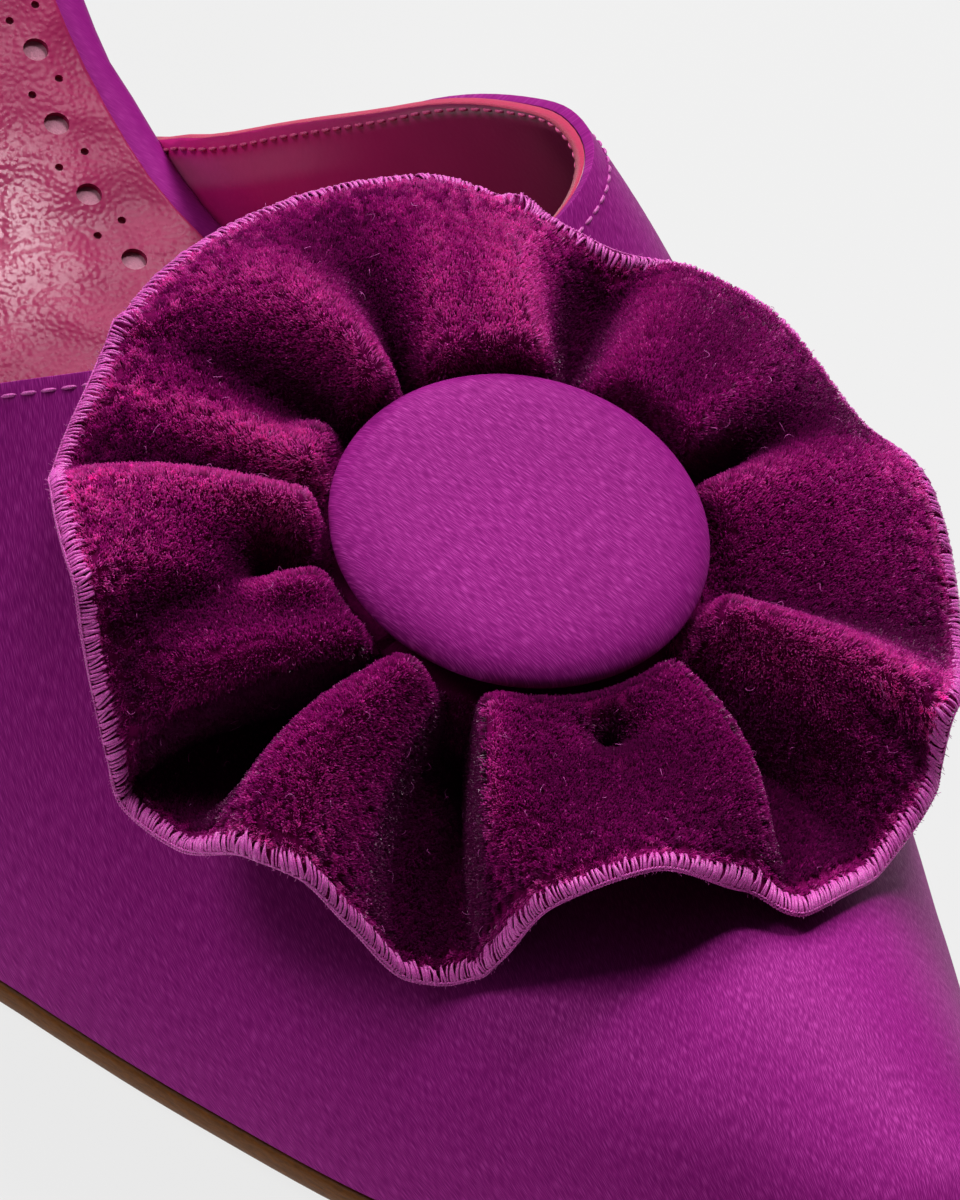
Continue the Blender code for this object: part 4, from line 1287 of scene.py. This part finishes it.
def build_sock(settings):
    """Glazed sock with a punched line down both sides, over a thin foam."""
    leather = settings.leather
    top = 2.0 * GAP + BOARD_THICK + SOCK_THICK
    rim = [RimRow(SOCK_INSET + 0.15, share, -SOCK_SKIN) for share in (0.0, 0.5, 0.9, 1.0)]
    rim += [RimRow(SOCK_INSET + inset, 1.0, height) for inset, height in
            ((0.0, 0.1 - SOCK_SKIN), (0.0, -0.12), (0.15, 0.0))]
    rim += [RimRow(SOCK_INSET + 0.3, share, 0.0) for share in (1.0, 0.92, 0.8, 0.65, 0.5, 0.3, 0.0)]
    shape = ring_plate(rim, HEEL_BACK, TOE_TIP, outline, top)
    sock = piece_from("punched_sock", shape, [sock_material(settings)], ["sock_lining"])
    large, small = punch_places(leather.punch / MM)
    cutter = bmesh.new()
    for side in (-1.0, 1.0):
        spots = [(x, 0.0, leather.hole / MM / 2.0, 22) for x in large]
        spots += [(x + 0.25 * step, step, leather.pinhole / MM / 2.0, 12)
                  for x in small for step in (-PINHOLE_SET, PINHOLE_SET)]
        for x, step, radius, segments in spots:
            y = outline(x, side) - side * (punch_inset(x) + step)
            slope = float(seat_at(x + 0.5) - seat_at(x - 0.5))
            stand = Matrix.Rotation(-math.atan(slope), 4, "Y")
            spot = Matrix.Translation((x, y, seat_at(x) + top - SOCK_SKIN / 2.0))
            bmesh.ops.create_cone(cutter, cap_ends=True, segments=segments, radius1=radius, radius2=radius,
                                  depth=3.0 * SOCK_SKIN, matrix=spot @ stand)
    cut_away(sock, [cutter_from("punch", cutter)])
    sock.data.set_sharp_from_angle(angle=math.radians(40.0))

    rim = [RimRow(SOCK_INSET + 0.5, share, height) for share, height in
           ((0.0, 0.02), (0.5, 0.02), (1.0, 0.02), (1.0, 0.3), (0.5, 0.3), (0.0, 0.3))]
    shape = ring_plate(rim, HEEL_BACK, TOE_TIP, outline, top - SOCK_THICK, count=60)
    foam = fuzzy_material("latex_foam", tuple(leather.foam), 0.2)
    piece_from("sock_foam", shape, [foam], sharp=50.0)


def build_heel(settings):
    """Satin covered heel and its rubber tip."""
    reach = np.sin(np.linspace(0.0, 1.0, 41) * math.pi / 2.0)
    breast = np.linspace(1.0, -1.0, 21)[1:-1]
    reach = np.concatenate([reach, reach[::-1][1:], 0.0 * breast, [0.0]])
    across = np.concatenate([-np.ones(41), np.ones(40), breast, [-1.0]])
    x_seat = HEEL_BREAST + (HEEL_BACK - HEEL_BREAST) * reach
    mid = (outline(x_seat, 1.0) + outline(x_seat, -1.0)) / 2.0
    half = (outline(x_seat, 1.0) - outline(x_seat, -1.0)) / 2.0
    y_seat = mid + across * half
    z_seat = seat_at(x_seat)

    foot = TOP_PIECE + GAP

    def ring(part, shrink):
        """Section of the heel at a part of its height, shrunk about its middle."""
        x = heel_breast(part) + (heel_back(part) - heel_breast(part)) * reach
        y = y_seat * heel_width(part)
        for _ in range(2):
            x[:-1] = (np.roll(x[:-1], 1) + 2.0 * x[:-1] + np.roll(x[:-1], -1)) / 4.0
            y[:-1] = (np.roll(y[:-1], 1) + 2.0 * y[:-1] + np.roll(y[:-1], -1)) / 4.0
            x[-1], y[-1] = x[0], y[0]
        middle = np.mean(x[:-1])
        z = foot + (z_seat - foot) * (1.0 - part)
        return np.stack([middle + (x - middle) * shrink, y * shrink, z], axis=-1)

    rings = [ring(0.0, share) for share in (0.0, 0.5, 0.97)]
    rings += [ring(part, 1.0) for part in np.linspace(0.004, 0.985, 60)]
    rings += [ring(1.0, share) for share in (0.97, 0.5, 0.0)]
    points = np.array(rings)
    shape = sheet_from(points, cloth_lengths(points))
    piece_from("satin_heel", shape, [satin_material(settings, "duchesse_satin_heel", 20.0)],
               ["heel"], sharp=60.0)

    rings = []
    for height, share in ((6.0, 0.0), (6.0, 0.9), (5.8, 0.985), (5.4, 1.0),
                          (1.0, 1.0), (0.4, 0.985), (0.0, 0.9), (0.0, 0.0)):
        level = ring(1.0, share)
        level[:, 2] = height
        rings.append(level)
    piece_from("rubber_heel_tip", sheet_from(np.array(rings)), [rubber_material()],
               ["heel_tip"], sharp=40.0)


def strap_normals(place, step):
    """Ways off the strap's outer face at places along it."""
    across = 0.02
    way = strap_points(np.clip(place + step, -1, 1), 0.0) - strap_points(np.clip(place - step, -1, 1), 0.0)
    wide = strap_points(place, across) - strap_points(place, -across)
    return unit(np.cross(way, wide))


def build_strap(settings):
    """Sling strap of folded satin with a row of stitches along each edge."""
    place = np.linspace(-1.0, 1.0, 221)
    section = np.linspace(0.0, 2.0 * math.pi, 25)
    across = np.sign(np.cos(section)) * np.abs(np.cos(section)) ** 0.35 * 0.5
    thick = np.sign(np.sin(section)) * np.abs(np.sin(section)) ** 0.8 * STRAP_THICK / 2.0
    normal = strap_normals(place, 0.005)
    points = strap_points(place[:, None], across[None, :]) + normal[:, None] * thick[None, :, None]
    shape = sheet_from(points, cloth_lengths(points))
    bmesh.ops.remove_doubles(shape, verts=shape.verts, dist=0.001)
    bmesh.ops.holes_fill(shape, edges=[edge for edge in shape.edges if edge.is_boundary], sides=40)
    piece_from("satin_sling_strap", shape, [satin_material(settings, "duchesse_satin_strap", 50.0)],
               ["sling_strap"], sharp=60.0)
    fine = np.linspace(-0.93, 0.93, 1200)
    normal = strap_normals(fine, 0.002)
    rows = []
    for side in (-0.33, 0.33):
        for face in (-1.0, 1.0):
            line = strap_points(fine, side) + face * normal * (STRAP_THICK / 2.0 - 0.06)
            rows.append(stitch_row(line, face * normal, settings.thread.pitch / MM, 0.26))
    silk = thread_material("silk_strap_thread", tuple(settings.thread.topline), STRAND)
    thread_piece("strap_stitches", rows, silk)


def ring_lengths(part):
    """Places round the ruffle and the length of cloth up to them, measured on one ring."""
    place = np.linspace(0.0, len(FOLDS), RING_STEPS + 1)
    return place, run_along(ruffle_points(place, part))


def build_ruffle(settings):
    """Gathered velvet ring: its ground cloth, its pile and the overlock round its rim."""
    velvet = settings.velvet
    around = 16 * len(FOLDS)
    place = np.linspace(0.0, len(FOLDS), around + 1)
    part = np.linspace(0.0, 1.0, 57)
    points = ruffle_points(place[:, None], part[None, :])
    mid_place, mid_run = ring_lengths(0.7)
    cloth = np.stack(np.broadcast_arrays(
        np.interp(place, mid_place, mid_run)[:, None], part[None, :] * STRIP_WIDE), axis=-1)
    shape = sheet_from(points, cloth)
    shape.normal_update()
    up = Vector(button_frame()[3])
    if sum(face.normal.dot(up) for face in shape.faces) < 0.0:
        bmesh.ops.reverse_faces(shape, faces=shape.faces)
    ruffle = piece_from("velvet_ruffle", shape, [ground_material(settings)], ["ruffle"], closed=False)
    solid_wall(ruffle, velvet.cloth / MM, offset=0.0, even=False)
    build_pile(settings) + [build_overlock(settings), build_lint(settings)]


def painted_pile_light(spot, normal, beside):
    """Painted light and shade of the tufts, as a share of the full tone; beside gives the cloth some way round
    the ring from them.
    """
    centre, toe, inner, up = button_frame()
    # Painted light and shade: tufts on a crest are painted brighter, tufts in a hollow darker
    sunk = np.zeros(len(spot))
    for reach, weight in ((2.2, 1.6), (5.5, 0.5)):
        for step in (reach, -reach):
            sunk += 0.5 * weight * np.sum((beside(step) - spot) * normal, axis=-1)
    opened = 0.08 + 1.25 / (1.0 + np.exp(1.2 * sunk))
    # Painted shade deep between two folds
    brink = spot @ up
    for step in (-9.0, -6.0, -3.5, 3.5, 6.0, 9.0):
        brink = np.maximum(brink, beside(step) @ up)
    opened = opened / (1.0 + ((brink - spot @ up) / 5.4) ** 3)
    # Painted shade, darkest under a fold that hangs over
    opened = opened * np.clip((normal @ up + 0.1) / 0.5, LEAST_PAINTED_SHARE, 1.0)
    # Painted light and shade round the ring, brighter or darker by the angle from the toe
    toward, painted_share = np.array(PAINTED_LIGHT_AROUND).T
    around_toe = np.degrees(np.arctan2((spot - centre) @ inner, (spot - centre) @ toe))
    return opened * np.interp(around_toe, toward, painted_share)


def pile_piece(name, corners, tone, home, material):
    """A piece of pile: one triangle for each fibre, with its tone of painted light and shade and its home on the
    map of the cloth.
    """
    points = corners.reshape(-1, 3)
    faces = np.arange(len(points)).reshape(-1, 3)
    mesh = joined_mesh(name, points, faces)
    # tip runs from 0 at the root, painted darker, to 1 at the tip
    for key, values in (("tip", np.tile((0.0, 1.0, 1.0), len(faces))), ("tone", np.repeat(tone, 3))):
        layer = mesh.attributes.new(key, "FLOAT", "POINT")
        layer.data.foreach_set("value", values.astype(np.float32))
    # Each fibre keeps its own small spot on the map, so that the velvet's tones can be baked
    spots = home[:, None] + np.array(((0.0, 0.0), (BAKE_SPOT, 0.0), (0.0, BAKE_SPOT)))
    own = mesh.uv_layers.new(name="OFBake")
    own.data.foreach_set("uv", np.clip(spots, 0.0, 1.0).reshape(-1).astype(np.float32))
    return place_piece(mesh, name, [material])


def build_pile(settings):
    """Tufts of velvet pile in rows, leaning a little to the rim, in four pieces round the ring."""
    velvet, thread = settings.velvet, settings.thread
    rng = np.random.default_rng(SEED)
    ring_place = np.linspace(0.0, len(FOLDS), RING_STEPS + 1)
    rings = [np.diff(ruffle_points(ring_place, share), axis=0) for share in (0.5, 0.7, 0.9, 0.97)]
    widest = np.max([np.linalg.norm(ring, axis=-1) for ring in rings], axis=0)
    ring_run = np.concatenate([[0.0], np.cumsum(widest)])
    rows = int(ring_run[-1] / (velvet.row / MM))
    columns = int(STRIP_WIDE / (velvet.tuft / MM))
    row, column = np.meshgrid(np.arange(rows), np.arange(columns), indexing="ij")
    shift = 0.5 * (row % 2) + rng.normal(0.0, 0.1, row.shape)
    run = (row + 0.5 + rng.normal(0.0, 0.1, row.shape)) * ring_run[-1] / rows
    part = (column + 0.5 + shift) / columns
    from_rim = (1.0 - part) * STRIP_WIDE
    edge = thread.overlock_deep / MM
    place = np.interp(run, ring_run, ring_place)
    spot, around, outward, normal = ruffle_frames(place, part)
    # Where the folds press the cloth together some tufts are left out, so that they stand evenly everywhere
    spread = np.interp(place, ring_place[1:], widest / np.diff(ring_place)) * STRIP_WIDE
    share = np.linalg.norm(around, axis=-1) * np.linalg.norm(outward, axis=-1) / spread
    told = np.cumsum(share, axis=0) + rng.random(columns)
    groove = (from_rim > edge + BAND_END) & (from_rim < edge + GROOVE_END)
    kept = (np.floor(told) > np.floor(told - share)) & (part > 0.14) & (from_rim > 0.8 * edge) & ~groove
    place, run, part, from_rim = place[kept], run[kept], part[kept], from_rim[kept]
    spot, around, outward, normal = spot[kept], unit(around[kept]), unit(outward[kept]), normal[kept]
    band = from_rim < edge + BAND_END
    tall = velvet.pile / MM * np.where(band, 0.8, 1.0)

    def beside(step):
        """Points of the cloth some way round the ring from each tuft."""
        return ruffle_points(np.interp((run + step) % ring_run[-1], ring_run, ring_place), part)

    # Painted light and shade of each tuft
    opened = painted_pile_light(spot, normal, beside)
    near_rim = np.exp(-((from_rim - edge) / 4.5) ** 2)
    tuft_tone = opened * (1.0 + rng.normal(0.0, 1.0, len(place)) * (0.1 + 0.25 * near_rim))
    tuft_tone = np.where(band, 0.5 + 0.9 * tuft_tone, tuft_tone)
    loose = 0.08 + 0.14 * near_rim
    lean = np.where(band, 0.55, 0.25)[:, None] * outward + rng.normal(0.0, 1.0, spot.shape) * loose[:, None]
    count = velvet.fibres
    size = (len(place), count, 1)
    spread = (0.24 - 0.07 * near_rim)[:, None, None]
    base = spot[:, None] + around[:, None] * rng.normal(0.0, 1.0, size) * spread
    base = base + outward[:, None] * rng.normal(0.0, 1.0, size) * spread
    way = unit(normal[:, None] + lean[:, None] + rng.normal(0.0, 0.13, (len(place), count, 3)))
    high = tall[:, None, None] * (1.0 + rng.normal(0.0, 0.1, size))
    base = base + normal[:, None] * (velvet.cloth / MM / 2.0 - 0.1)
    tip = base + way * high
    half = unit(np.cross(way, rng.normal(0.0, 1.0, way.shape))) * velvet.fibre / MM / 2.0
    corners = np.stack([base, tip - half, tip + half], axis=2).reshape(-1, 3, 3)
    tone = tuft_tone[:, None] * (1.0 + rng.normal(0.0, 0.14, (len(place), count)))
    # Painted glints: a few fibres are painted 2.4 times brighter
    tone = tone * np.where(rng.random(tone.shape) < 0.03, 2.4, 1.0)
    tone = np.maximum(tone, LEAST_TONE).reshape(-1)
    home = np.stack([np.repeat(place / len(FOLDS), count), np.repeat(part, count)], axis=-1)
    home = home + rng.normal(0.0, BAKE_SPOT, home.shape)
    material = pile_material(settings)
    pieces = []
    shares = np.linspace(0, len(corners), PILE_PIECES + 1).astype(int)
    for k in range(PILE_PIECES):
        name, some = f"velvet_pile_{k + 1}", slice(shares[k], shares[k + 1])
        pieces.append(pile_piece(name, corners[some], tone[some], home[some], material))
    return pieces


def build_overlock(settings):
    """Overlock round the rim: whip stitches over the edge and two looped threads along it."""
    thread = settings.thread
    rng = np.random.default_rng(SEED + 1)
    rim_place, rim_run = ring_lengths(1.0)
    count = int(rim_run[-1] / (thread.overlock_pitch / MM))
    deep = thread.overlock_deep / MM
    profile = np.array((
        (deep, 0.22), (0.75 * deep, 0.5), (0.35 * deep, 0.52), (0.0, 0.32), (-0.1, 0.0), (0.25, -0.34),
    ))
    slant = rng.normal(0.0, 0.2, count)
    start = np.arange(count) + 0.5 + rng.normal(0.0, 0.12, count)
    run = start[:, None] * rim_run[-1] / count + slant[:, None] * profile[:, 0] / deep
    place = np.interp(run % rim_run[-1], rim_run, rim_place)
    inset = np.maximum(profile[:, 0], 0.0) / RIM_RUN
    spot, _, outward, normal = ruffle_frames(place, np.broadcast_to(1.0 - inset, place.shape))
    outward = unit(outward)
    past = np.minimum(profile[:, 0], 0.0)
    reach = rng.normal(0.0, 0.16, (count, 1, 1)) * np.linspace(1.0, 0.0, len(profile))[:, None]
    path = spot + normal * profile[:, 1][:, None] - outward * past[:, None] + outward * reach
    turn = np.linspace(0.0, math.pi, len(profile))[:, None]
    off = normal * np.cos(turn) + outward * np.sin(turn)
    wide = 0.21 * (1.0 + rng.normal(0.0, 0.25, (count, 1))) * thread_taper(len(profile), 0.5)
    parts = [tubes(path, off, wide, 0.8 * wide, sides=5)]
    # Two threads run along the edge and swing out at each stitch
    dense = 3 * count
    run = np.linspace(0.0, rim_run[-1], dense + 1)
    place = np.interp(run, rim_run, rim_place)
    spot, _, outward, normal = ruffle_frames(place, np.ones(dense + 1))
    outward = unit(outward)
    for level, phase in ((0.16, 0.0), (-0.04, math.pi)):
        swing = 0.07 * np.sin(2.0 * math.pi * run * count / rim_run[-1] + phase)
        line = spot + outward * (0.15 + 0.3 * swing)[:, None] + normal * (level + swing)[:, None]
        parts.append(tubes(line[None], outward[None], 0.14, 0.14, sides=5))
    silk = thread_material("silk_overlock_thread", tuple(thread.overlock), 0.09)
    return thread_piece("ruffle_overlock", parts, silk)


def build_lint(settings):
    """Stray curly fibres lying on the pile, and short fuzz that stands off the overlocked rim."""
    rng = np.random.default_rng(SEED + 2)
    t = np.linspace(-0.5, 0.5, 7)
    count = 150
    place, part = rng.uniform(0.0, len(FOLDS), count), rng.uniform(0.3, 0.95, count)
    spot, around, outward, normal = ruffle_frames(place, part)
    turn = rng.uniform(0.0, 2.0 * math.pi, (count, 1))
    way = np.cos(turn) * unit(around) + np.sin(turn) * unit(outward)
    long = rng.uniform(0.25, 0.95, (count, 1))
    curl = rng.normal(0.0, 1.1, (count, 1)) * long
    lift = settings.velvet.pile / MM + 0.25 + 0.35 * rng.random((count, 1)) * np.cos(math.pi * t)
    path = spot[:, None] + way[:, None] * (long * t)[..., None] + normal[:, None] * lift[..., None]
    path = path + np.cross(normal, way)[:, None] * (curl * (t ** 2 + 0.6 * t ** 3))[..., None]
    parts = [tubes(path, np.broadcast_to(normal[:, None], path.shape), 0.045, 0.045, sides=3)]
    count = 900
    place = rng.uniform(0.0, len(FOLDS), count)
    spot, around, outward, normal = ruffle_frames(place, np.ones(count))
    way = unit(unit(outward) + 0.8 * rng.normal(0.0, 1.0, spot.shape))
    reach = rng.uniform(0.2, 0.6, count)[:, None, None] * np.linspace(0.0, 1.0, 4)[:, None]
    path = spot[:, None] + way[:, None] * reach + normal[:, None] * (0.5 * reach ** 2)
    parts.append(tubes(path, np.broadcast_to(unit(around)[:, None], path.shape), 0.04, 0.04, sides=3))
    silk = thread_material("stray_silk_fibres", scaled(tuple(settings.thread.overlock), 0.8), 0.2)
    return thread_piece("velvet_lint", parts, silk)


def build_button(settings):
    """Covered button: its smooth section spun about its own axis."""
    table = np.array(BUTTON)
    guide = np.concatenate([table[1:2] * (-1.0, 1.0), table, table[-1:] * 2.0 - table[-2:-1]])
    line = []
    for k in range(len(BUTTON) - 2):
        for t in np.linspace(0.0, 1.0, 6, endpoint=False):
            a, b, c, d = guide[k:k + 4]
            line.append(0.5 * (2.0 * b + (c - a) * t + (2.0 * a - 5.0 * b + 4.0 * c - d) * t ** 2
                               + (3.0 * b - a - 3.0 * c + d) * t ** 3))
    line.append(table[-2])
    line.append(table[-1])
    shape = bmesh.new()
    layer = shape.loops.layers.uv.new("cloth")
    verts = [shape.verts.new((max(radius, 0.0), 0.0, height)) for radius, height in line]
    edges = [shape.edges.new((verts[k], verts[k + 1])) for k in range(len(verts) - 1)]
    bmesh.ops.spin(shape, geom=verts + edges, cent=(0.0, 0.0, 0.0), axis=(0.0, 0.0, 1.0),
                   angle=2.0 * math.pi, steps=120, use_merge=True)
    for face in shape.faces:
        for loop in face.loops:
            loop[layer].uv = loop.vert.co.xy
    centre, toe, inner, up = button_frame()
    stand = Matrix((toe, inner, up)).transposed().to_4x4()
    bmesh.ops.transform(shape, matrix=Matrix.Translation(centre) @ stand, verts=shape.verts)
    piece_from("satin_button", shape, [satin_material(settings, "duchesse_satin_button", 23.0)],
               ["covered_button"])


def area_light(name, spot, aim, size, power, tint):
    """A soft light at a spot in metres, aimed at a point."""
    lamp = bpy.data.lights.new(name, "AREA")
    lamp.shape = "RECTANGLE"
    lamp.size, lamp.size_y = size
    lamp.energy = power
    lamp.color = tint
    made = linked(name, lamp)
    made.location = spot
    made.rotation_euler = (Vector(aim) - Vector(spot)).to_track_quat("-Z", "Y").to_euler()


def photo_camera():
    """The camera where the photograph was taken from."""
    azimuth, elevation = math.radians(CAMERA_AZIMUTH), math.radians(CAMERA_ELEVATION)
    ahead = Vector((math.cos(azimuth), -math.sin(azimuth), 0.0))
    back = math.cos(elevation) * ahead + math.sin(elevation) * Vector((0.0, 0.0, 1.0))
    right = Vector((0.0, 0.0, 1.0)).cross(ahead)
    above = back.cross(right)
    camera = bpy.data.cameras.new("photo_camera")
    camera.sensor_width = 36.0
    camera.lens = CAMERA_LENS
    camera.clip_start = 0.01
    stand = linked("photo_camera", camera)
    turned = Matrix((right, above, back)).transposed().to_4x4()
    stand.matrix_world = Matrix.Translation(Vector(CAMERA_EYE) * MM) @ turned
    bpy.context.scene.camera = stand


def set_stage(settings):
    """Pale floor, soft light from above and behind, and the camera of the photograph."""
    stage = settings.stage
    shape = bmesh.new()
    bmesh.ops.create_grid(shape, x_segments=8, y_segments=8, size=3.0)
    mesh = mesh_from("floor", shape)
    made, tree, shader = new_material(
        "lit_acrylic_floor", Roughness=0.85, Specular_IOR_Level=0.2,
        Emission_Color=tuple(stage.floor), Emission_Strength=stage.glow,
    )
    place = add_node(tree, "ShaderNodeTexCoord")
    cloud = add_node(tree, "ShaderNodeTexNoise", {
        "Vector": place.outputs["Object"], "Scale": 1.0 / (300.0 * MM), "Detail": 2.0,
    })
    tone = add_node(tree, "ShaderNodeMix", {
        0: cloud.outputs["Fac"], 6: scaled(tuple(stage.floor), 0.04), 7: scaled(tuple(stage.floor), 0.045),
    }, data_type="RGBA")
    wire(tree, shader, Base_Color=tone.outputs[2])
    mesh.materials.append(made)
    floor = linked("floor", mesh)

    aim = (0.02, 0.0, 0.03)
    area_light("key_light", (-0.55, 0.34, 0.7), aim, (0.45, 0.45), stage.key, (1.0, 0.99, 0.98))
    area_light("top_light", (-0.13, 0.37, 0.9), aim, (0.24, 0.24), stage.top, (1.0, 1.0, 1.0))
    area_light("side_light", (-0.35, -0.55, 0.9), aim, (0.4, 0.4), stage.side, (1.0, 1.0, 1.0))

    world = bpy.data.worlds.new("studio")
    world.use_nodes = True
    sky = world.node_tree.nodes["Background"]
    sky.inputs["Color"].default_value = hex_colour("#F4F6F8")
    sky.inputs["Strength"].default_value = stage.sky
    bpy.context.scene.world = world

    photo_camera()
    view = bpy.context.scene.view_settings
    view.view_transform = "Standard"
    view.look = "None"


class PUMP_OT_stage(bpy.types.Operator):
    """Set up the floor, the lights and the camera"""

    bl_idname = "pump.stage"
    bl_label = "Set the stage"

    def execute(self, context):
        set_stage(context.scene.pump)
        return {"FINISHED"}


class PUMP_OT_upper(bpy.types.Operator):
    """Build the satin vamp, its lining and its stitches"""

    bl_idname = "pump.upper"
    bl_label = "Build the upper"

    def execute(self, context):
        build_upper(context.scene.pump)
        return {"FINISHED"}


class PUMP_OT_sole(bpy.types.Operator):
    """Build the outsole and the insole board"""

    bl_idname = "pump.sole"
    bl_label = "Build the sole"

    def execute(self, context):
        build_sole(context.scene.pump)
        return {"FINISHED"}


class PUMP_OT_sock(bpy.types.Operator):
    """Build the punched sock and its foam"""

    bl_idname = "pump.sock"
    bl_label = "Build the sock"

    def execute(self, context):
        build_sock(context.scene.pump)
        return {"FINISHED"}


class PUMP_OT_heel(bpy.types.Operator):
    """Build the covered heel and its tip"""

    bl_idname = "pump.heel"
    bl_label = "Build the heel"

    def execute(self, context):
        build_heel(context.scene.pump)
        return {"FINISHED"}


class PUMP_OT_strap(bpy.types.Operator):
    """Build the sling strap and its stitches"""

    bl_idname = "pump.strap"
    bl_label = "Build the strap"

    def execute(self, context):
        build_strap(context.scene.pump)
        return {"FINISHED"}


class PUMP_OT_ruffle(bpy.types.Operator):
    """Build the velvet ruffle, its pile and its overlock"""

    bl_idname = "pump.ruffle"
    bl_label = "Build the ruffle"

    def execute(self, context):
        build_ruffle(context.scene.pump)
        return {"FINISHED"}


class PUMP_OT_button(bpy.types.Operator):
    """Build the covered button"""

    bl_idname = "pump.button"
    bl_label = "Build the button"

    def execute(self, context):
        build_button(context.scene.pump)
        return {"FINISHED"}


OPERATORS = (
    PUMP_OT_stage, PUMP_OT_upper, PUMP_OT_sole, PUMP_OT_sock,
    PUMP_OT_heel, PUMP_OT_strap, PUMP_OT_ruffle, PUMP_OT_button,
)


class PUMP_PT_sidebar(bpy.types.Panel):
    """Lists the steps and the settings of the pump"""

    bl_idname = "PUMP_PT_sidebar"
    bl_label = "Slingback pump"
    bl_space_type = "VIEW_3D"
    bl_region_type = "UI"
    bl_category = "Pump"

    def draw(self, context):
        settings = context.scene.pump
        for operator in OPERATORS:
            self.layout.operator(operator.bl_idname)
        for group in (settings.satin, settings.velvet, settings.thread, settings.leather, settings.stage):
            box = self.layout.box()
            for name in group.__annotations__:
                box.prop(group, name)


CLASSES = (
    PumpSatin, PumpVelvet, PumpThread, PumpLeather, PumpStage, PumpSettings, *OPERATORS, PUMP_PT_sidebar,
)


def register():
    """Register the classes and the settings."""
    for item in CLASSES:
        bpy.utils.register_class(item)
    bpy.types.Scene.pump = bpy.props.PointerProperty(type=PumpSettings, name="Pump", description="Pump settings")


def unregister():
    """Take the classes and the settings away."""
    del bpy.types.Scene.pump
    for item in reversed(CLASSES):
        bpy.utils.unregister_class(item)


def main():
    """Build every piece in order."""
    register()
    bpy.ops.pump.stage()
    bpy.ops.pump.upper()
    bpy.ops.pump.sole()
    bpy.ops.pump.sock()
    bpy.ops.pump.heel()
    bpy.ops.pump.strap()
    bpy.ops.pump.ruffle()
    bpy.ops.pump.button()


if __name__ == "__main__":
    main()
